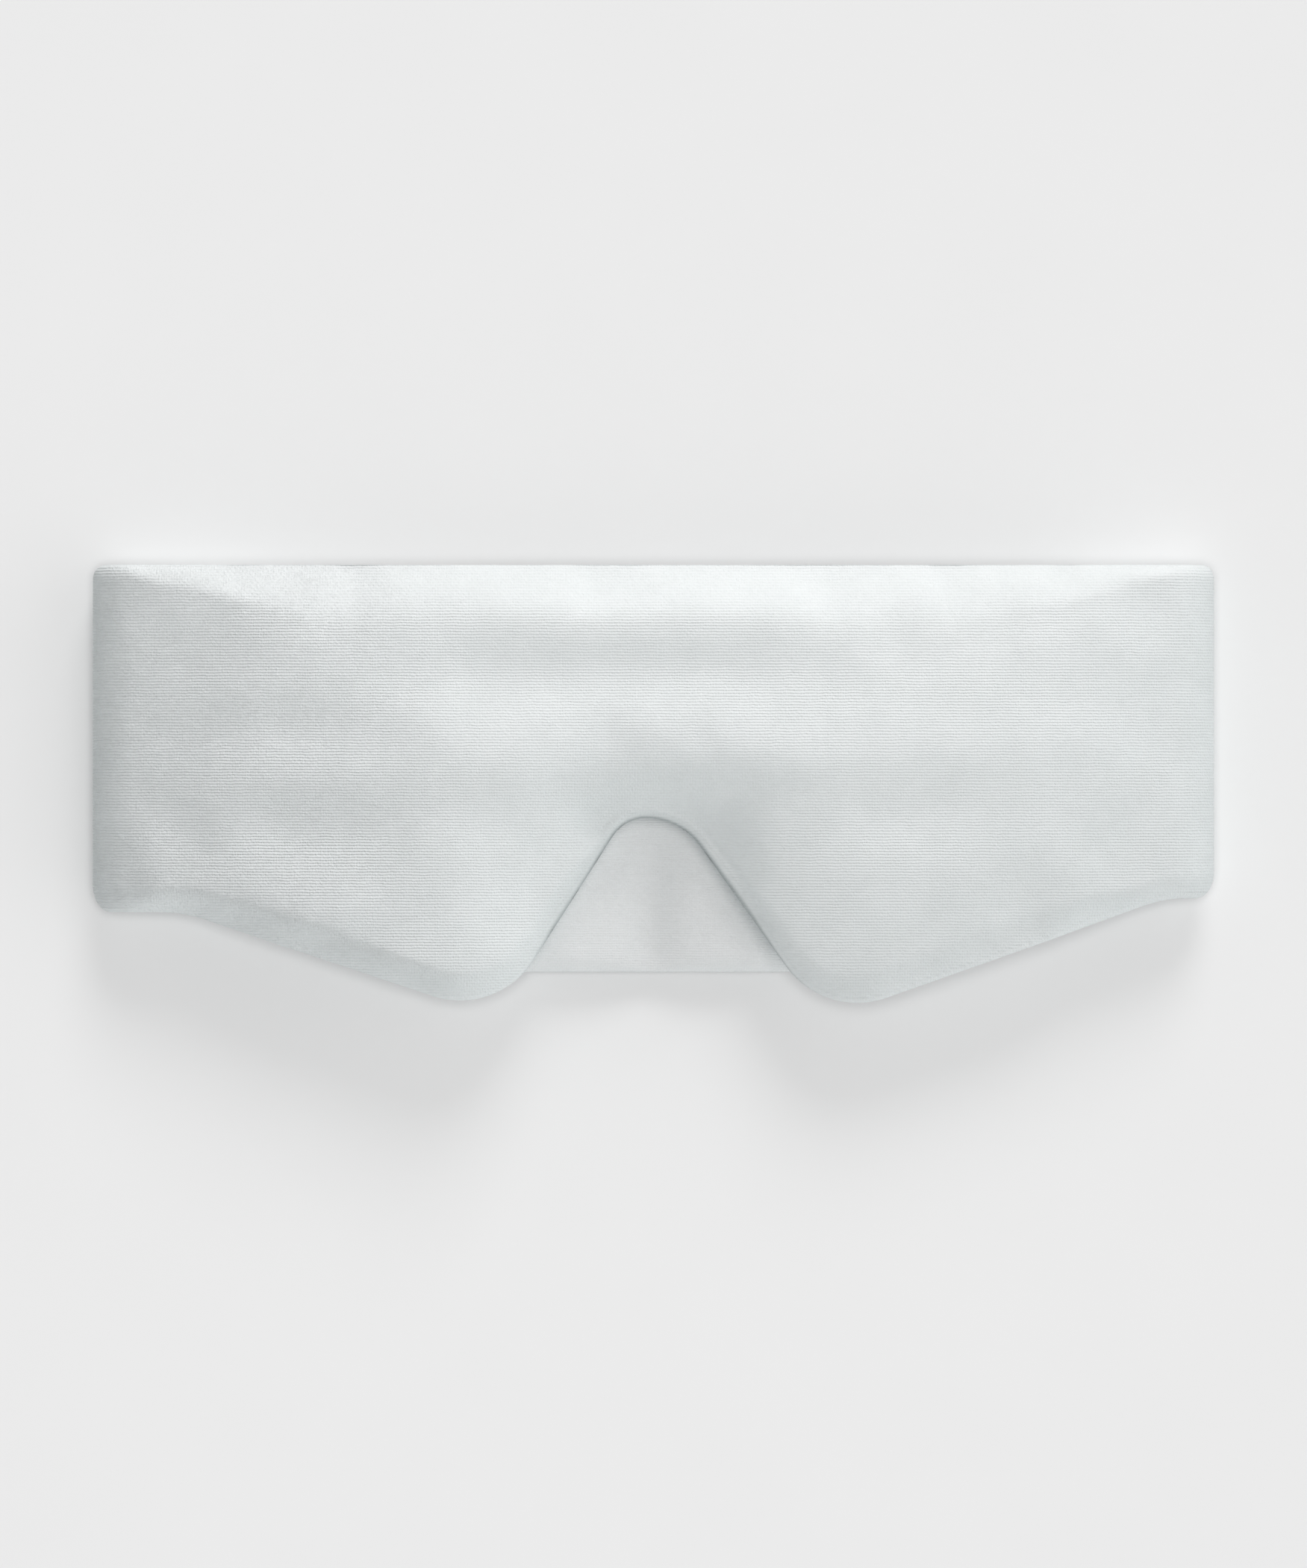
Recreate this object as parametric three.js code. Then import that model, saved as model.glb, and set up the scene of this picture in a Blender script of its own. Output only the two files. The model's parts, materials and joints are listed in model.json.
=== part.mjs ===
// Wrap-around padded eye pillow, folded flat with its closure fastened.
// Millimetres, +Z up. The eye section faces +Z and its straight top edge is at +Y.
// Origin: centre of the plan box, on the plane the folded straps rest on.
import * as THREE from 'three';

// ---- driving dimensions (mm) ----
const HALF_HEIGHT = 52.6; // plan height / 2: straight top edge to the lowest point of a lobe
const PIVOT_X = 126; // centre of each side fold
const PIVOT_Z = 9; // halfway up the two stacked layers at a fold
const FOLD_RX = 8.7; // roll radius, sideways
const FOLD_RZ = 8.8; // roll radius, upwards
const GAP = 0.3; // clearance between neighbouring pieces

// bottom outline of the eye section
const APEX_Y = -8.2; // top of the nose notch
const APEX_R = 10;
const NOTCH_SLOPE = 55; // degrees, sides of the notch
const LOBE_R = 21;
const LOBE_SLOPE = 19.5; // degrees, from a lobe out to the side
const SIDE_Y = -30; // lower edge at the side folds
const SIDE_BLEND_R = 40;

// stack of the eye section, upwards
const LINING_Z = 9.3;
const LINING_T = 0.8;
const BLACKOUT_T = 0.5;
const FRONT_RIM_Z = LINING_Z + LINING_T + BLACKOUT_T + 2 * GAP;
const FRONT_SKIN_T = 1.2;
const FRONT_SIDE_TOP = 17.8; // height at the folds
const FRONT_MID_TOP = 27; // height over the eyes
const FRONT_RISE = 48; // length of the rise from the fold to full height

// straps, downwards from the lining
const STRAP_LINING_TOP = 8.7;
const STRAP_RIM_Z = STRAP_LINING_TOP - LINING_T - GAP;
const STRAP_SKIN_T = 1;
const STRAP_FOLD_LOW = -29;
const STRAP_FOLD_HIGH = 52.2;
const LEFT_END_X = 45;
const LEFT_END_LOW = -45.3;
const RIGHT_END_X = 47.5;
const RIGHT_END_LOW = -43.5;
const STRAP_END_HIGH = 34;
const STRAP_END_ROUND = 6;
const CLOSURE_Z = 3.5; // underside of the right strap over the closure tab
const CLOSURE_RAMP = [97, 107]; // where that underside drops back to the table

// hook-and-loop closure
const TAB = { x0: 45.9, x1: 88, y0: -33.5, y1: 22.5, z0: 0, z1: 1, r: 8 };
const HOOK = { x0: 53, x1: 84, y0: -29, y1: 18, z0: 1.3, z1: 2.1, r: 3 };
const LOOP = { x0: 53, x1: 94, y0: -29, y1: 18, z0: 2.4, z1: 3.2, r: 3 };
const STITCH_W = 0.9;
const LABEL = { x0: -62, x1: -40, y1: 49, z0: 7.6, z1: 8, r: 0.6 };

const ROUND_STEPS = 3; // rows over a rolled edge
const FLAT_STEPS = 2; // rows between the two rolled edges

const rad = THREE.MathUtils.degToRad;
const lerp = THREE.MathUtils.lerp;
const smooth = (t) => THREE.MathUtils.smoothstep(t, 0, 1);

// ---- outline of the eye section's lower edge, for x >= 0 ----
const notchA = rad(NOTCH_SLOPE);
const lobeA = rad(LOBE_SLOPE);
const apexEnd = [APEX_R * Math.sin(notchA), APEX_Y - APEX_R * (1 - Math.cos(notchA))];
const lobeCY = LOBE_R - HALF_HEIGHT;
const lobeInY = lobeCY - LOBE_R * Math.cos(notchA);
const lobeInX = apexEnd[0] + (apexEnd[1] - lobeInY) / Math.tan(notchA);
const lobeCX = lobeInX + LOBE_R * Math.sin(notchA);
const lobeOut = [lobeCX + LOBE_R * Math.sin(lobeA), lobeCY - LOBE_R * Math.cos(lobeA)];
const sideMeetX = lobeOut[0] + (SIDE_Y - lobeOut[1]) / Math.tan(lobeA);
const blendLen = SIDE_BLEND_R * Math.tan(lobeA / 2);
const blendIn = sideMeetX - blendLen * Math.cos(lobeA);
const blendOut = sideMeetX + blendLen;

function lowerEdge(xSigned) {
  const x = Math.abs(xSigned);
  if (x <= apexEnd[0]) return APEX_Y - APEX_R + Math.sqrt(APEX_R ** 2 - x ** 2);
  if (x <= lobeInX) return apexEnd[1] - (x - apexEnd[0]) * Math.tan(notchA);
  if (x <= lobeOut[0]) return lobeCY - Math.sqrt(LOBE_R ** 2 - (x - lobeCX) ** 2);
  if (x <= blendIn) return lobeOut[1] + (x - lobeOut[0]) * Math.tan(lobeA);
  if (x >= blendOut) return SIDE_Y;
  return SIDE_Y - SIDE_BLEND_R + Math.sqrt(SIDE_BLEND_R ** 2 - (x - blendOut) ** 2);
}

function span(a, b, steps) {
  return Array.from({ length: steps }, (_, i) => lerp(a, b, (i + 1) / steps));
}

function frontColumns() {
  const half = [0];
  half.push(...span(0, notchA, 4).map((a) => APEX_R * Math.sin(a)));
  half.push(...span(apexEnd[0], lobeInX, 3));
  half.push(...span(-notchA, lobeA, 6).map((a) => lobeCX + LOBE_R * Math.sin(a)));
  half.push(...span(lobeOut[0], blendIn, 4));
  half.push(...span(blendIn, blendOut, 2));
  half.push(PIVOT_X);
  const mirrored = half.slice(1).map((x) => -x);
  return mirrored.reverse().concat(half);
}

// ---- grids and closed bodies ----
// Quarter-round rise of a rolled edge of radius r at distance d from the edge.
function roll(d, r) {
  const u = 1 - Math.min(Math.max(d / r, 0), 1);
  return Math.sqrt(1 - u * u);
}

// One surface over a plan area: a column of points per x, from the lower to the upper edge.
// inset moves both edges inwards; height(x) is the rise above rim, side is +1 or -1.
function surface({ xs, low, high, inset, rim, side, height, endRoll }) {
  return xs.map((x) => {
    const tilt = Math.atan((low(x + 0.05) - low(x - 0.05)) / 0.1);
    const y0 = low(x) + inset / Math.cos(tilt);
    const y1 = high(x) - inset;
    const h = height(x);
    const r = Math.max(h, 0.5);
    const reach = Math.min(r / Math.cos(tilt), (y1 - y0) * 0.55);
    const ys = [y0];
    ys.push(...span(0, Math.PI / 2, ROUND_STEPS).map((a) => y0 + reach * (1 - Math.cos(a))));
    ys.push(...span(y0 + reach, y1 - r, FLAT_STEPS));
    ys.push(...span(Math.PI / 2, 0, ROUND_STEPS).map((a) => y1 - r * (1 - Math.cos(a))));
    return ys.map((y) => {
      const rise = roll(y - y0, reach) * roll(y1 - y, r) * (endRoll ? endRoll(x) : 1);
      return new THREE.Vector3(x, y, rim + side * h * rise);
    });
  });
}

// The same plan area as a flat grid at height z, with the rows of another grid.
function flatten(grid, z) {
  return grid.map((column) => column.map((p) => new THREE.Vector3(p.x, p.y, z)));
}

function edgeOnly(grid) {
  return grid.map((column) => [column[0], column[column.length - 1]]);
}

// Closed body between an upper and a lower grid that share rows and columns.
function between(upper, lower) {
  const columns = upper.length;
  const rows = upper[0].length;
  const count = columns * rows;
  const points = [...upper.flat(), ...lower.flat()];
  const at = (j, i) => j * rows + i;
  const index = [];
  for (let j = 0; j + 1 < columns; j++) {
    for (let i = 0; i + 1 < rows; i++) {
      const [a, b, c, d] = [at(j, i), at(j + 1, i), at(j + 1, i + 1), at(j, i + 1)];
      index.push(a, b, c, a, c, d);
      index.push(a + count, c + count, b + count, a + count, d + count, c + count);
    }
  }
  const rim = [];
  for (let j = 0; j + 1 < columns; j++) rim.push(at(j, 0));
  for (let i = 0; i + 1 < rows; i++) rim.push(at(columns - 1, i));
  for (let j = columns - 1; j > 0; j--) rim.push(at(j, rows - 1));
  for (let i = rows - 1; i > 0; i--) rim.push(at(0, i));
  rim.forEach((a, k) => {
    const b = rim[(k + 1) % rim.length];
    index.push(a + count, b + count, b, a + count, b, a);
  });
  return fromPoints(points, index);
}

function fromPoints(points, index) {
  const geometry = new THREE.BufferGeometry().setFromPoints(points);
  geometry.setIndex(index);
  geometry.computeVertexNormals();
  return geometry;
}

// Rounded rectangle as a loop of plan points, anticlockwise.
function roundedLoop({ x0, x1, y0, y1, r }, grow = 0, steps = 4) {
  const radius = r + grow;
  const corners = [[x1 - r, y0 + r, -90], [x1 - r, y1 - r, 0], [x0 + r, y1 - r, 90], [x0 + r, y0 + r, 180]];
  return corners.flatMap(([cx, cy, start]) =>
    Array.from({ length: steps + 1 }, (_, i) => {
      const a = rad(start + (90 * i) / steps);
      return [cx + radius * Math.cos(a), cy + radius * Math.sin(a)];
    }));
}

// Flat patch: fan from its centre, top and bottom, with a wall round it.
function patch(box, grow = 0) {
  const loop = roundedLoop(box, grow);
  const n = loop.length;
  const centre = [(box.x0 + box.x1) / 2, (box.y0 + box.y1) / 2];
  const at = (z) => [...loop, centre].map(([x, y]) => new THREE.Vector3(x, y, z));
  const points = [...at(box.z1), ...at(box.z0)];
  const low = n + 1;
  const index = [];
  for (let a = 0; a < n; a++) {
    const b = (a + 1) % n;
    index.push(n, a, b, low + n, low + b, low + a);
    index.push(low + a, low + b, b, low + a, b, a);
  }
  return fromPoints(points, index);
}

// Flat ring round a patch: the row of edge stitches.
function stitchRing(box) {
  const inner = roundedLoop(box, GAP);
  const outer = roundedLoop(box, GAP + STITCH_W);
  const n = inner.length;
  const at = (loop, z) => loop.map(([x, y]) => new THREE.Vector3(x, y, z));
  const z0 = box.z0 + 0.1;
  const z1 = box.z1 - 0.1;
  const points = [...at(outer, z1), ...at(inner, z1), ...at(outer, z0), ...at(inner, z0)];
  const index = [];
  for (let a = 0; a < n; a++) {
    const b = (a + 1) % n;
    index.push(a, b, n + b, a, n + b, n + a);
    index.push(2 * n + a, 3 * n + b, 2 * n + b, 2 * n + a, 3 * n + a, 3 * n + b);
    index.push(2 * n + a, 2 * n + b, b, 2 * n + a, b, a);
    index.push(3 * n + a, n + a, n + b, 3 * n + a, n + b, 3 * n + b);
  }
  return fromPoints(points, index);
}

// Half-round roll of padded cloth along Y at one side; sign is -1 left, +1 right.
function foldRoll(sign) {
  const low = SIDE_Y;
  const high = HALF_HEIGHT;
  const endR = 7;
  const arcs = 10;
  const ys = [low];
  ys.push(...span(0, Math.PI / 2, 4).map((a) => low + endR * (1 - Math.cos(a))));
  ys.push(...span(low + endR, high - endR, 2));
  ys.push(...span(Math.PI / 2, 0, 4).map((a) => high - endR * (1 - Math.cos(a))));
  const flatX = sign * (PIVOT_X + GAP);
  const rings = ys.map((y) => {
    const f = 0.22 + 0.78 * roll(Math.min(y - low, high - y), endR);
    return Array.from({ length: arcs + 1 }, (_, k) => {
      const a = Math.PI * (k / arcs - 0.5);
      const x = flatX + sign * f * FOLD_RX * Math.cos(a);
      return new THREE.Vector3(x, y, PIVOT_Z + f * FOLD_RZ * Math.sin(a));
    });
  });
  const n = arcs + 1;
  const points = rings.flat();
  const index = [];
  const tri = (a, b, c) => (sign > 0 ? index.push(a, b, c) : index.push(a, c, b));
  for (let j = 0; j + 1 < rings.length; j++) {
    for (let k = 0; k < n; k++) {
      const m = (k + 1) % n;
      tri(j * n + k, (j + 1) * n + m, j * n + m);
      tri(j * n + k, (j + 1) * n + k, (j + 1) * n + m);
    }
  }
  const last = (rings.length - 1) * n;
  for (let k = 1; k + 1 < n; k++) {
    tri(0, k, k + 1);
    tri(last, last + k + 1, last + k);
  }
  return fromPoints(points, index);
}

// ---- plan shapes of the parts ----
const topEdge = () => HALF_HEIGHT;
const frontTop = (x) => {
  const t = smooth((PIVOT_X - Math.abs(x)) / FRONT_RISE);
  return lerp(FRONT_SIDE_TOP, FRONT_MID_TOP, t) - FRONT_RIM_Z;
};

function strapPlan(sign, endX, endLow) {
  const length = Math.abs(endX - sign * PIVOT_X);
  const along = (x) => smooth((PIVOT_X - sign * x) / Math.min(length, 100));
  return {
    low: (x) => lerp(STRAP_FOLD_LOW, endLow, along(x)),
    high: (x) => lerp(STRAP_FOLD_HIGH, STRAP_END_HIGH, along(x)),
  };
}

// Outer panel, padding and lining of one strap.
function strapLayers(sign, endX, endLow, underside) {
  const plan = strapPlan(sign, endX, endLow);
  const columnsTo = (tip) => {
    const fromFold = [sign * PIVOT_X];
    const bend = tip + sign * STRAP_END_ROUND;
    fromFold.push(...span(sign * PIVOT_X, bend, 9));
    fromFold.push(...span(0, Math.PI / 2, 3).map((a) => bend - sign * STRAP_END_ROUND * Math.sin(a)));
    return sign > 0 ? fromFold.reverse() : fromFold;
  };
  const grid = (inset) => {
    const tip = endX + sign * inset;
    return surface({
      xs: columnsTo(tip), low: plan.low, high: plan.high, inset, rim: STRAP_RIM_Z, side: -1,
      height: (x) => STRAP_RIM_Z - underside(x) - inset,
      endRoll: (x) => roll(Math.abs(x - tip), STRAP_END_ROUND),
    });
  };
  const outside = grid(0);
  const inside = grid(STRAP_SKIN_T);
  const core = grid(STRAP_SKIN_T + GAP);
  const sheet = edgeOnly(outside);
  return {
    outer: between(inside, outside),
    padding: between(flatten(core, STRAP_RIM_Z), core),
    lining: between(flatten(sheet, STRAP_LINING_TOP), flatten(sheet, STRAP_LINING_TOP - LINING_T)),
  };
}

// ---- assembly ----
const pillow = new THREE.Group();
pillow.name = 'eye_pillow';

const finishes = {
  knit: { color: '#dce5e4', roughness: 0.92 },
  lining: { color: '#e9edec', roughness: 0.9 },
  blackout: { color: '#2b2e31', roughness: 0.85 },
  fibrefill: { color: '#f4f4f1', roughness: 1 },
  hook: { color: '#d2dad9', roughness: 0.6 },
  loop: { color: '#dfe5e4', roughness: 0.98 },
  thread: { color: '#c9d3d1', roughness: 0.8 },
  label: { color: '#f7f7f5', roughness: 0.7 },
};

function add(name, geometry, finish) {
  const mesh = new THREE.Mesh(geometry, new THREE.MeshStandardMaterial({ ...finishes[finish], metalness: 0 }));
  mesh.name = name;
  pillow.add(mesh);
}

// eye section
const xs = frontColumns();
const frontGrid = (inset) => surface({
  xs, low: lowerEdge, high: topEdge, inset, rim: FRONT_RIM_Z, side: 1, height: (x) => frontTop(x) - inset,
});
const frontSkin = frontGrid(0);
const frontCore = frontGrid(FRONT_SKIN_T + GAP);
const frontSheet = edgeOnly(frontSkin);
const blackoutZ = LINING_Z + LINING_T + GAP;
add('front_outer_panel', between(frontSkin, frontGrid(FRONT_SKIN_T)), 'knit');
add('front_padding', between(frontCore, flatten(frontCore, FRONT_RIM_Z)), 'fibrefill');
add('blackout_interlining', between(flatten(frontSheet, blackoutZ + BLACKOUT_T), flatten(frontSheet, blackoutZ)), 'blackout');
add('front_lining', between(flatten(frontSheet, LINING_Z + LINING_T), flatten(frontSheet, LINING_Z)), 'lining');

// side folds
add('left_fold', foldRoll(-1), 'knit');
add('right_fold', foldRoll(1), 'knit');

// straps
const left = strapLayers(-1, LEFT_END_X, LEFT_END_LOW, () => 0);
const raise = (x) => CLOSURE_Z * (1 - smooth((x - CLOSURE_RAMP[0]) / (CLOSURE_RAMP[1] - CLOSURE_RAMP[0])));
const right = strapLayers(1, RIGHT_END_X, RIGHT_END_LOW, raise);
for (const [side, layers] of [['left', left], ['right', right]]) {
  add(`${side}_strap_outer_panel`, layers.outer, 'knit');
  add(`${side}_strap_padding`, layers.padding, 'fibrefill');
  add(`${side}_strap_lining`, layers.lining, 'lining');
}
const labelY = strapPlan(-1, LEFT_END_X, LEFT_END_LOW).high(LABEL.x0) + GAP;
add('care_label', patch({ ...LABEL, y0: labelY + 0.3 }), 'label');

// closure
add('tab_backing', patch(TAB), 'knit');
add('hook_tape', patch(HOOK), 'hook');
add('hook_tape_stitching', stitchRing(HOOK), 'thread');
add('loop_tape', patch(LOOP), 'loop');
add('loop_tape_stitching', stitchRing(LOOP), 'thread');

export default pillow;
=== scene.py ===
"""Padded wrap-around eye pillow, folded flat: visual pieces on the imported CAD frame. Metres, +Z up."""
import json
import math
import bpy
import numpy as np
from mathutils import Vector
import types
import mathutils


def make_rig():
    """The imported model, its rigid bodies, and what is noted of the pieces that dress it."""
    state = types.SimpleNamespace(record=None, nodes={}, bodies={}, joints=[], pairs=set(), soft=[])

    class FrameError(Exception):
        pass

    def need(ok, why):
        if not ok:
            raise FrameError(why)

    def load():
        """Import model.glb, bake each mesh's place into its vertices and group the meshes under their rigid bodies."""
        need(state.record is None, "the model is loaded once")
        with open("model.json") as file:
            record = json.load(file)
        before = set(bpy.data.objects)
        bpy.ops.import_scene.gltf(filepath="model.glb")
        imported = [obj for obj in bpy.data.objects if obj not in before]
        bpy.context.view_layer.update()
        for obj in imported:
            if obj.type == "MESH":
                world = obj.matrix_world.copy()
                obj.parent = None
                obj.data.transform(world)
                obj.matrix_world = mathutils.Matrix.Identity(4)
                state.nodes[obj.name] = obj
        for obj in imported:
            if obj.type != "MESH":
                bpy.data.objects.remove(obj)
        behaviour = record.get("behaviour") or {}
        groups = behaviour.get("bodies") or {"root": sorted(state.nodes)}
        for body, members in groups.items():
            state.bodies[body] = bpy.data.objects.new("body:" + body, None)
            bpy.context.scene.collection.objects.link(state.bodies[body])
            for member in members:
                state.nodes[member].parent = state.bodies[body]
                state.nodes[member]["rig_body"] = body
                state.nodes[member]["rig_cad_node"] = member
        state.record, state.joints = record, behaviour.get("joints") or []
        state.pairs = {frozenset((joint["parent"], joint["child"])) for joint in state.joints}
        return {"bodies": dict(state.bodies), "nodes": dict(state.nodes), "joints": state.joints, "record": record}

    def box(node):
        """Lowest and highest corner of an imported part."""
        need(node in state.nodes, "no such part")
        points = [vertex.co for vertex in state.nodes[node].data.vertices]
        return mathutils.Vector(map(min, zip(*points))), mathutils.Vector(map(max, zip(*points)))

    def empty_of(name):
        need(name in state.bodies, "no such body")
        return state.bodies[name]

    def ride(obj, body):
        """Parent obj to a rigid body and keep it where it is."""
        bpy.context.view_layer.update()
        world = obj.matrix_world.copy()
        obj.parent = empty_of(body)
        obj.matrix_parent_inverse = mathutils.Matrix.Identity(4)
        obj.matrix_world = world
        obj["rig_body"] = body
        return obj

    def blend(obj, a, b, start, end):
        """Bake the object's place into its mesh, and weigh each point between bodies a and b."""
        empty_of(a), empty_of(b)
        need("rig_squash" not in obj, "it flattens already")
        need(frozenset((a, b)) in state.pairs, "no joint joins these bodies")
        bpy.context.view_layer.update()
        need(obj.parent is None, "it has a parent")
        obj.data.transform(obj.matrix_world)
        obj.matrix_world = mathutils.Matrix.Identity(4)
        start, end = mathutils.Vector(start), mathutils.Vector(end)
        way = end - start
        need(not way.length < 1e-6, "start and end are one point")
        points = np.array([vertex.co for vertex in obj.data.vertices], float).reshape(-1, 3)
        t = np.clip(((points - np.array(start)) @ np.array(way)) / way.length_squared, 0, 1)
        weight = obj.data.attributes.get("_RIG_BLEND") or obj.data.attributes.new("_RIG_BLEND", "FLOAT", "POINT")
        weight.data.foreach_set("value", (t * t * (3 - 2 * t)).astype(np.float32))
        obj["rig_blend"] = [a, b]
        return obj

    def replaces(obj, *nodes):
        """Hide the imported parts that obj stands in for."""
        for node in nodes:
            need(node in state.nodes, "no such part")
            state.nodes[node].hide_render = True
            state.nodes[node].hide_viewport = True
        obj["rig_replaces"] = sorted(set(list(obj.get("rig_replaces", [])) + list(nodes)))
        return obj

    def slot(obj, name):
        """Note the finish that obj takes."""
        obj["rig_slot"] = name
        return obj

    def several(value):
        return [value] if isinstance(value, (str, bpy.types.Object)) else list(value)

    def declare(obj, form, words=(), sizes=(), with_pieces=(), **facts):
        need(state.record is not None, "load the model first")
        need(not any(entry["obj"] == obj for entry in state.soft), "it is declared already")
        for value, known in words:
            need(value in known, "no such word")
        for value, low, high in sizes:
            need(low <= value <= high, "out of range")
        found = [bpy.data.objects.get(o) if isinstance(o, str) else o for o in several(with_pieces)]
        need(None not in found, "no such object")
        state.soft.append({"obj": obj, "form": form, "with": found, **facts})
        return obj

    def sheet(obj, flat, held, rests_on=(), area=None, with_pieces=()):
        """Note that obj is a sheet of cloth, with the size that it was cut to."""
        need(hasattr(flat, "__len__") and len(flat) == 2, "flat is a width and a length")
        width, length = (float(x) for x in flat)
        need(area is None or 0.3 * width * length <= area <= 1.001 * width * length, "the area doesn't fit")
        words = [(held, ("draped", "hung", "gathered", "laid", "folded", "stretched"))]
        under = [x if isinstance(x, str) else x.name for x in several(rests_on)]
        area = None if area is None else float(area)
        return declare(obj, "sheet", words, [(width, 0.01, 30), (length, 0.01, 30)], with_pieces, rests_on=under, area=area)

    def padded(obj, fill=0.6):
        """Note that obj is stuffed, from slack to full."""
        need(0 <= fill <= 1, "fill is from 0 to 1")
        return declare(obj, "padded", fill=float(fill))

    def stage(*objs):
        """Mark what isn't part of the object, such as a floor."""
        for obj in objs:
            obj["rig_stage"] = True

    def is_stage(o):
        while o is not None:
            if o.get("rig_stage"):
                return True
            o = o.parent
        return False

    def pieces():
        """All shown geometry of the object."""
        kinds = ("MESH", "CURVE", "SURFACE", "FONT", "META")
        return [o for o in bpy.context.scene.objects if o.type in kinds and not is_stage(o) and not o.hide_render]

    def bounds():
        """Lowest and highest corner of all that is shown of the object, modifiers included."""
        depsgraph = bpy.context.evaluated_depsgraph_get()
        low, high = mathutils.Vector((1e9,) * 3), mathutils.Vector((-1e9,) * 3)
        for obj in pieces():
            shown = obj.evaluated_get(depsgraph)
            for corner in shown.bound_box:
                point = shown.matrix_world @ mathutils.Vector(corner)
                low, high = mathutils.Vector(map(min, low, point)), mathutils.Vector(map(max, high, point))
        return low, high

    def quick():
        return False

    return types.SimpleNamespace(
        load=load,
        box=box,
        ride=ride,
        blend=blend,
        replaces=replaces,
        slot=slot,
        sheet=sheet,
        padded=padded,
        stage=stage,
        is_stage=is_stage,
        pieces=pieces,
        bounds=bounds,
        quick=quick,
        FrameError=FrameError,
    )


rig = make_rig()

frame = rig.load()
cad_box = [list(c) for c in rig.bounds()]

# ---- driving dimensions ----
MM = 0.001
JOINTS = {j["name"]: j for j in frame["joints"]}
PIVOT_X = JOINTS["right_side_fold"]["pos_m"][0]
MID_Z = JOINTS["right_side_fold"]["pos_m"][2]  # plane between the eye section and the straps
TOP_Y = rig.box("front_outer_panel")[1].y
FOLD_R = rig.box("right_fold")[1].x - PIVOT_X
FOLD_ARC = math.pi * FOLD_R
LEFT_END_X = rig.box("left_strap_outer_panel")[1].x
RIGHT_END_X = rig.box("right_strap_outer_panel")[0].x
CLOSURE_GAP = 0.3 * MM
CLOSURE_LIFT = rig.box("loop_tape")[1].z + CLOSURE_GAP  # underside of the right strap over the tab
STEP_X = 97 * MM  # the right strap comes down beside the closure from here
STEP_RUN = 10 * MM
LINING_R = 0.4 * MM  # half the gap between the two linings
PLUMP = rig.box("front_outer_panel")[1].z - MID_Z  # rise of the eye section
FRONT_RISE = 62 * MM  # length of the rise from a fold to full height
QUICK_RISE = 9 * MM  # length of the quick part of that rise, right beside the fold
LEFT_QUICK_SHARE = 0.28
RIGHT_QUICK_SHARE = 0.1
# shape of the rolled edges: 1 is softer than a quarter round, and over 1 leaves a flat lip
QUARTER_ROUND = 0.5
LEFT_EDGE_POWER = 1.25
RIGHT_EDGE_POWER = 1.15
NOTCH_EDGE_POWER = 0.85
TOP_EDGE_POWER = 1.05
FOLD_PROUD = 2.1 * MM  # how much a fold stands over its half round where it meets the eye section

# distance of the edge seams from the middle surface
LOWER_SEAM_AT_FOLD = 4.6 * MM
UPPER_SEAM_AT_FOLD = 6.4 * MM
LOWER_SEAM_LEFT = 10 * MM
LOWER_SEAM_RIGHT = 13 * MM
LOWER_SEAM_AT_NOTCH = 3.4 * MM
UPPER_SEAM = 6 * MM
STRAP_SEAM = 4.5 * MM
LEFT_END_SEAM = 8.2 * MM
RIGHT_END_SEAM = 3 * MM
STRAP_SETTLE = 30 * MM  # way in from a fold, or from the closure, to the strap's own seam height
LEFT_END_SETTLE = 24 * MM

# widths of the rolled edges
LOW_RADIUS_AT_FOLD = 6.5 * MM
LOW_RADIUS_LEFT = 8.2 * MM
LOW_RADIUS_RIGHT = 8.0 * MM
LOW_RADIUS_AT_NOTCH = 2.5 * MM
HIGH_RADIUS_AT_FOLD = 3.4 * MM
HIGH_RADIUS = 16 * MM
LINING_LOW_RADIUS = 6 * MM
LINING_HIGH_RADIUS = 5 * MM
END_RADIUS = 6 * MM
LINING_END_RADIUS = 11 * MM
PINCH_EDGE = 3 * MM  # a pinch fades out over this last bit before the edge

# distance from a fold over which each of these comes in
SEAM_RUN = 40 * MM
LOW_RADIUS_RUN = 42 * MM
HIGH_RADIUS_RUN = 55 * MM
SLACK_RUN = 50 * MM
EDGE_POWER_RUN = 30 * MM
RELIEF_RUN = 20 * MM

# how far to either side of its axis the notch acts on each of these
NOTCH_SEAM_REACH = 36 * MM
NOTCH_EDGE_REACH = 32 * MM
NOTCH_SLACK_REACH = 34 * MM
NOTCH_TOP_REACH = 20 * MM

# share by which the cloth stands lower at an edge, and how far from the edge that is felt
NOTCH_DROP = 0.46
NOTCH_TOP_DROP = 0.45
NOTCH_LEFT_DEPTH = 16 * MM
NOTCH_RIGHT_DEPTH = 13 * MM
NOTCH_TOP_DEPTH = 9.5 * MM
NOTCH_SIDE_CHANGE = 24 * MM
LEFT_DROP = -0.03
RIGHT_DROP = 0.06
LOW_DEPTH = 14 * MM
HIGH_DROP = 0.04
HIGH_DEPTH = 22 * MM
RIGHT_CROWN_DROP = 0.08
CROWN_Y = 2 * MM
CROWN_LENGTH = 48 * MM

# grid: rows over each rolled edge and between them, columns along each stretch
OUTER_ROWS = (17, 46)
LINING_ROWS = (9, 22)
LEFT_STRAP_COLUMNS = 90
FOLD_COLUMNS = 41
EYE_COLUMNS = 229
RIGHT_STRAP_COLUMNS = 46
END_COLUMNS = 9
LEFT_END_TURN = 11 * MM
RIGHT_END_TURN = 8 * MM
OUTLINE_STEP = 0.12 * MM
OUTLINE_MARGIN = 12 * MM
OUTLINE_BLOCK = 4000  # points measured at once

CLOTH_FRAMES = 20

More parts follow.
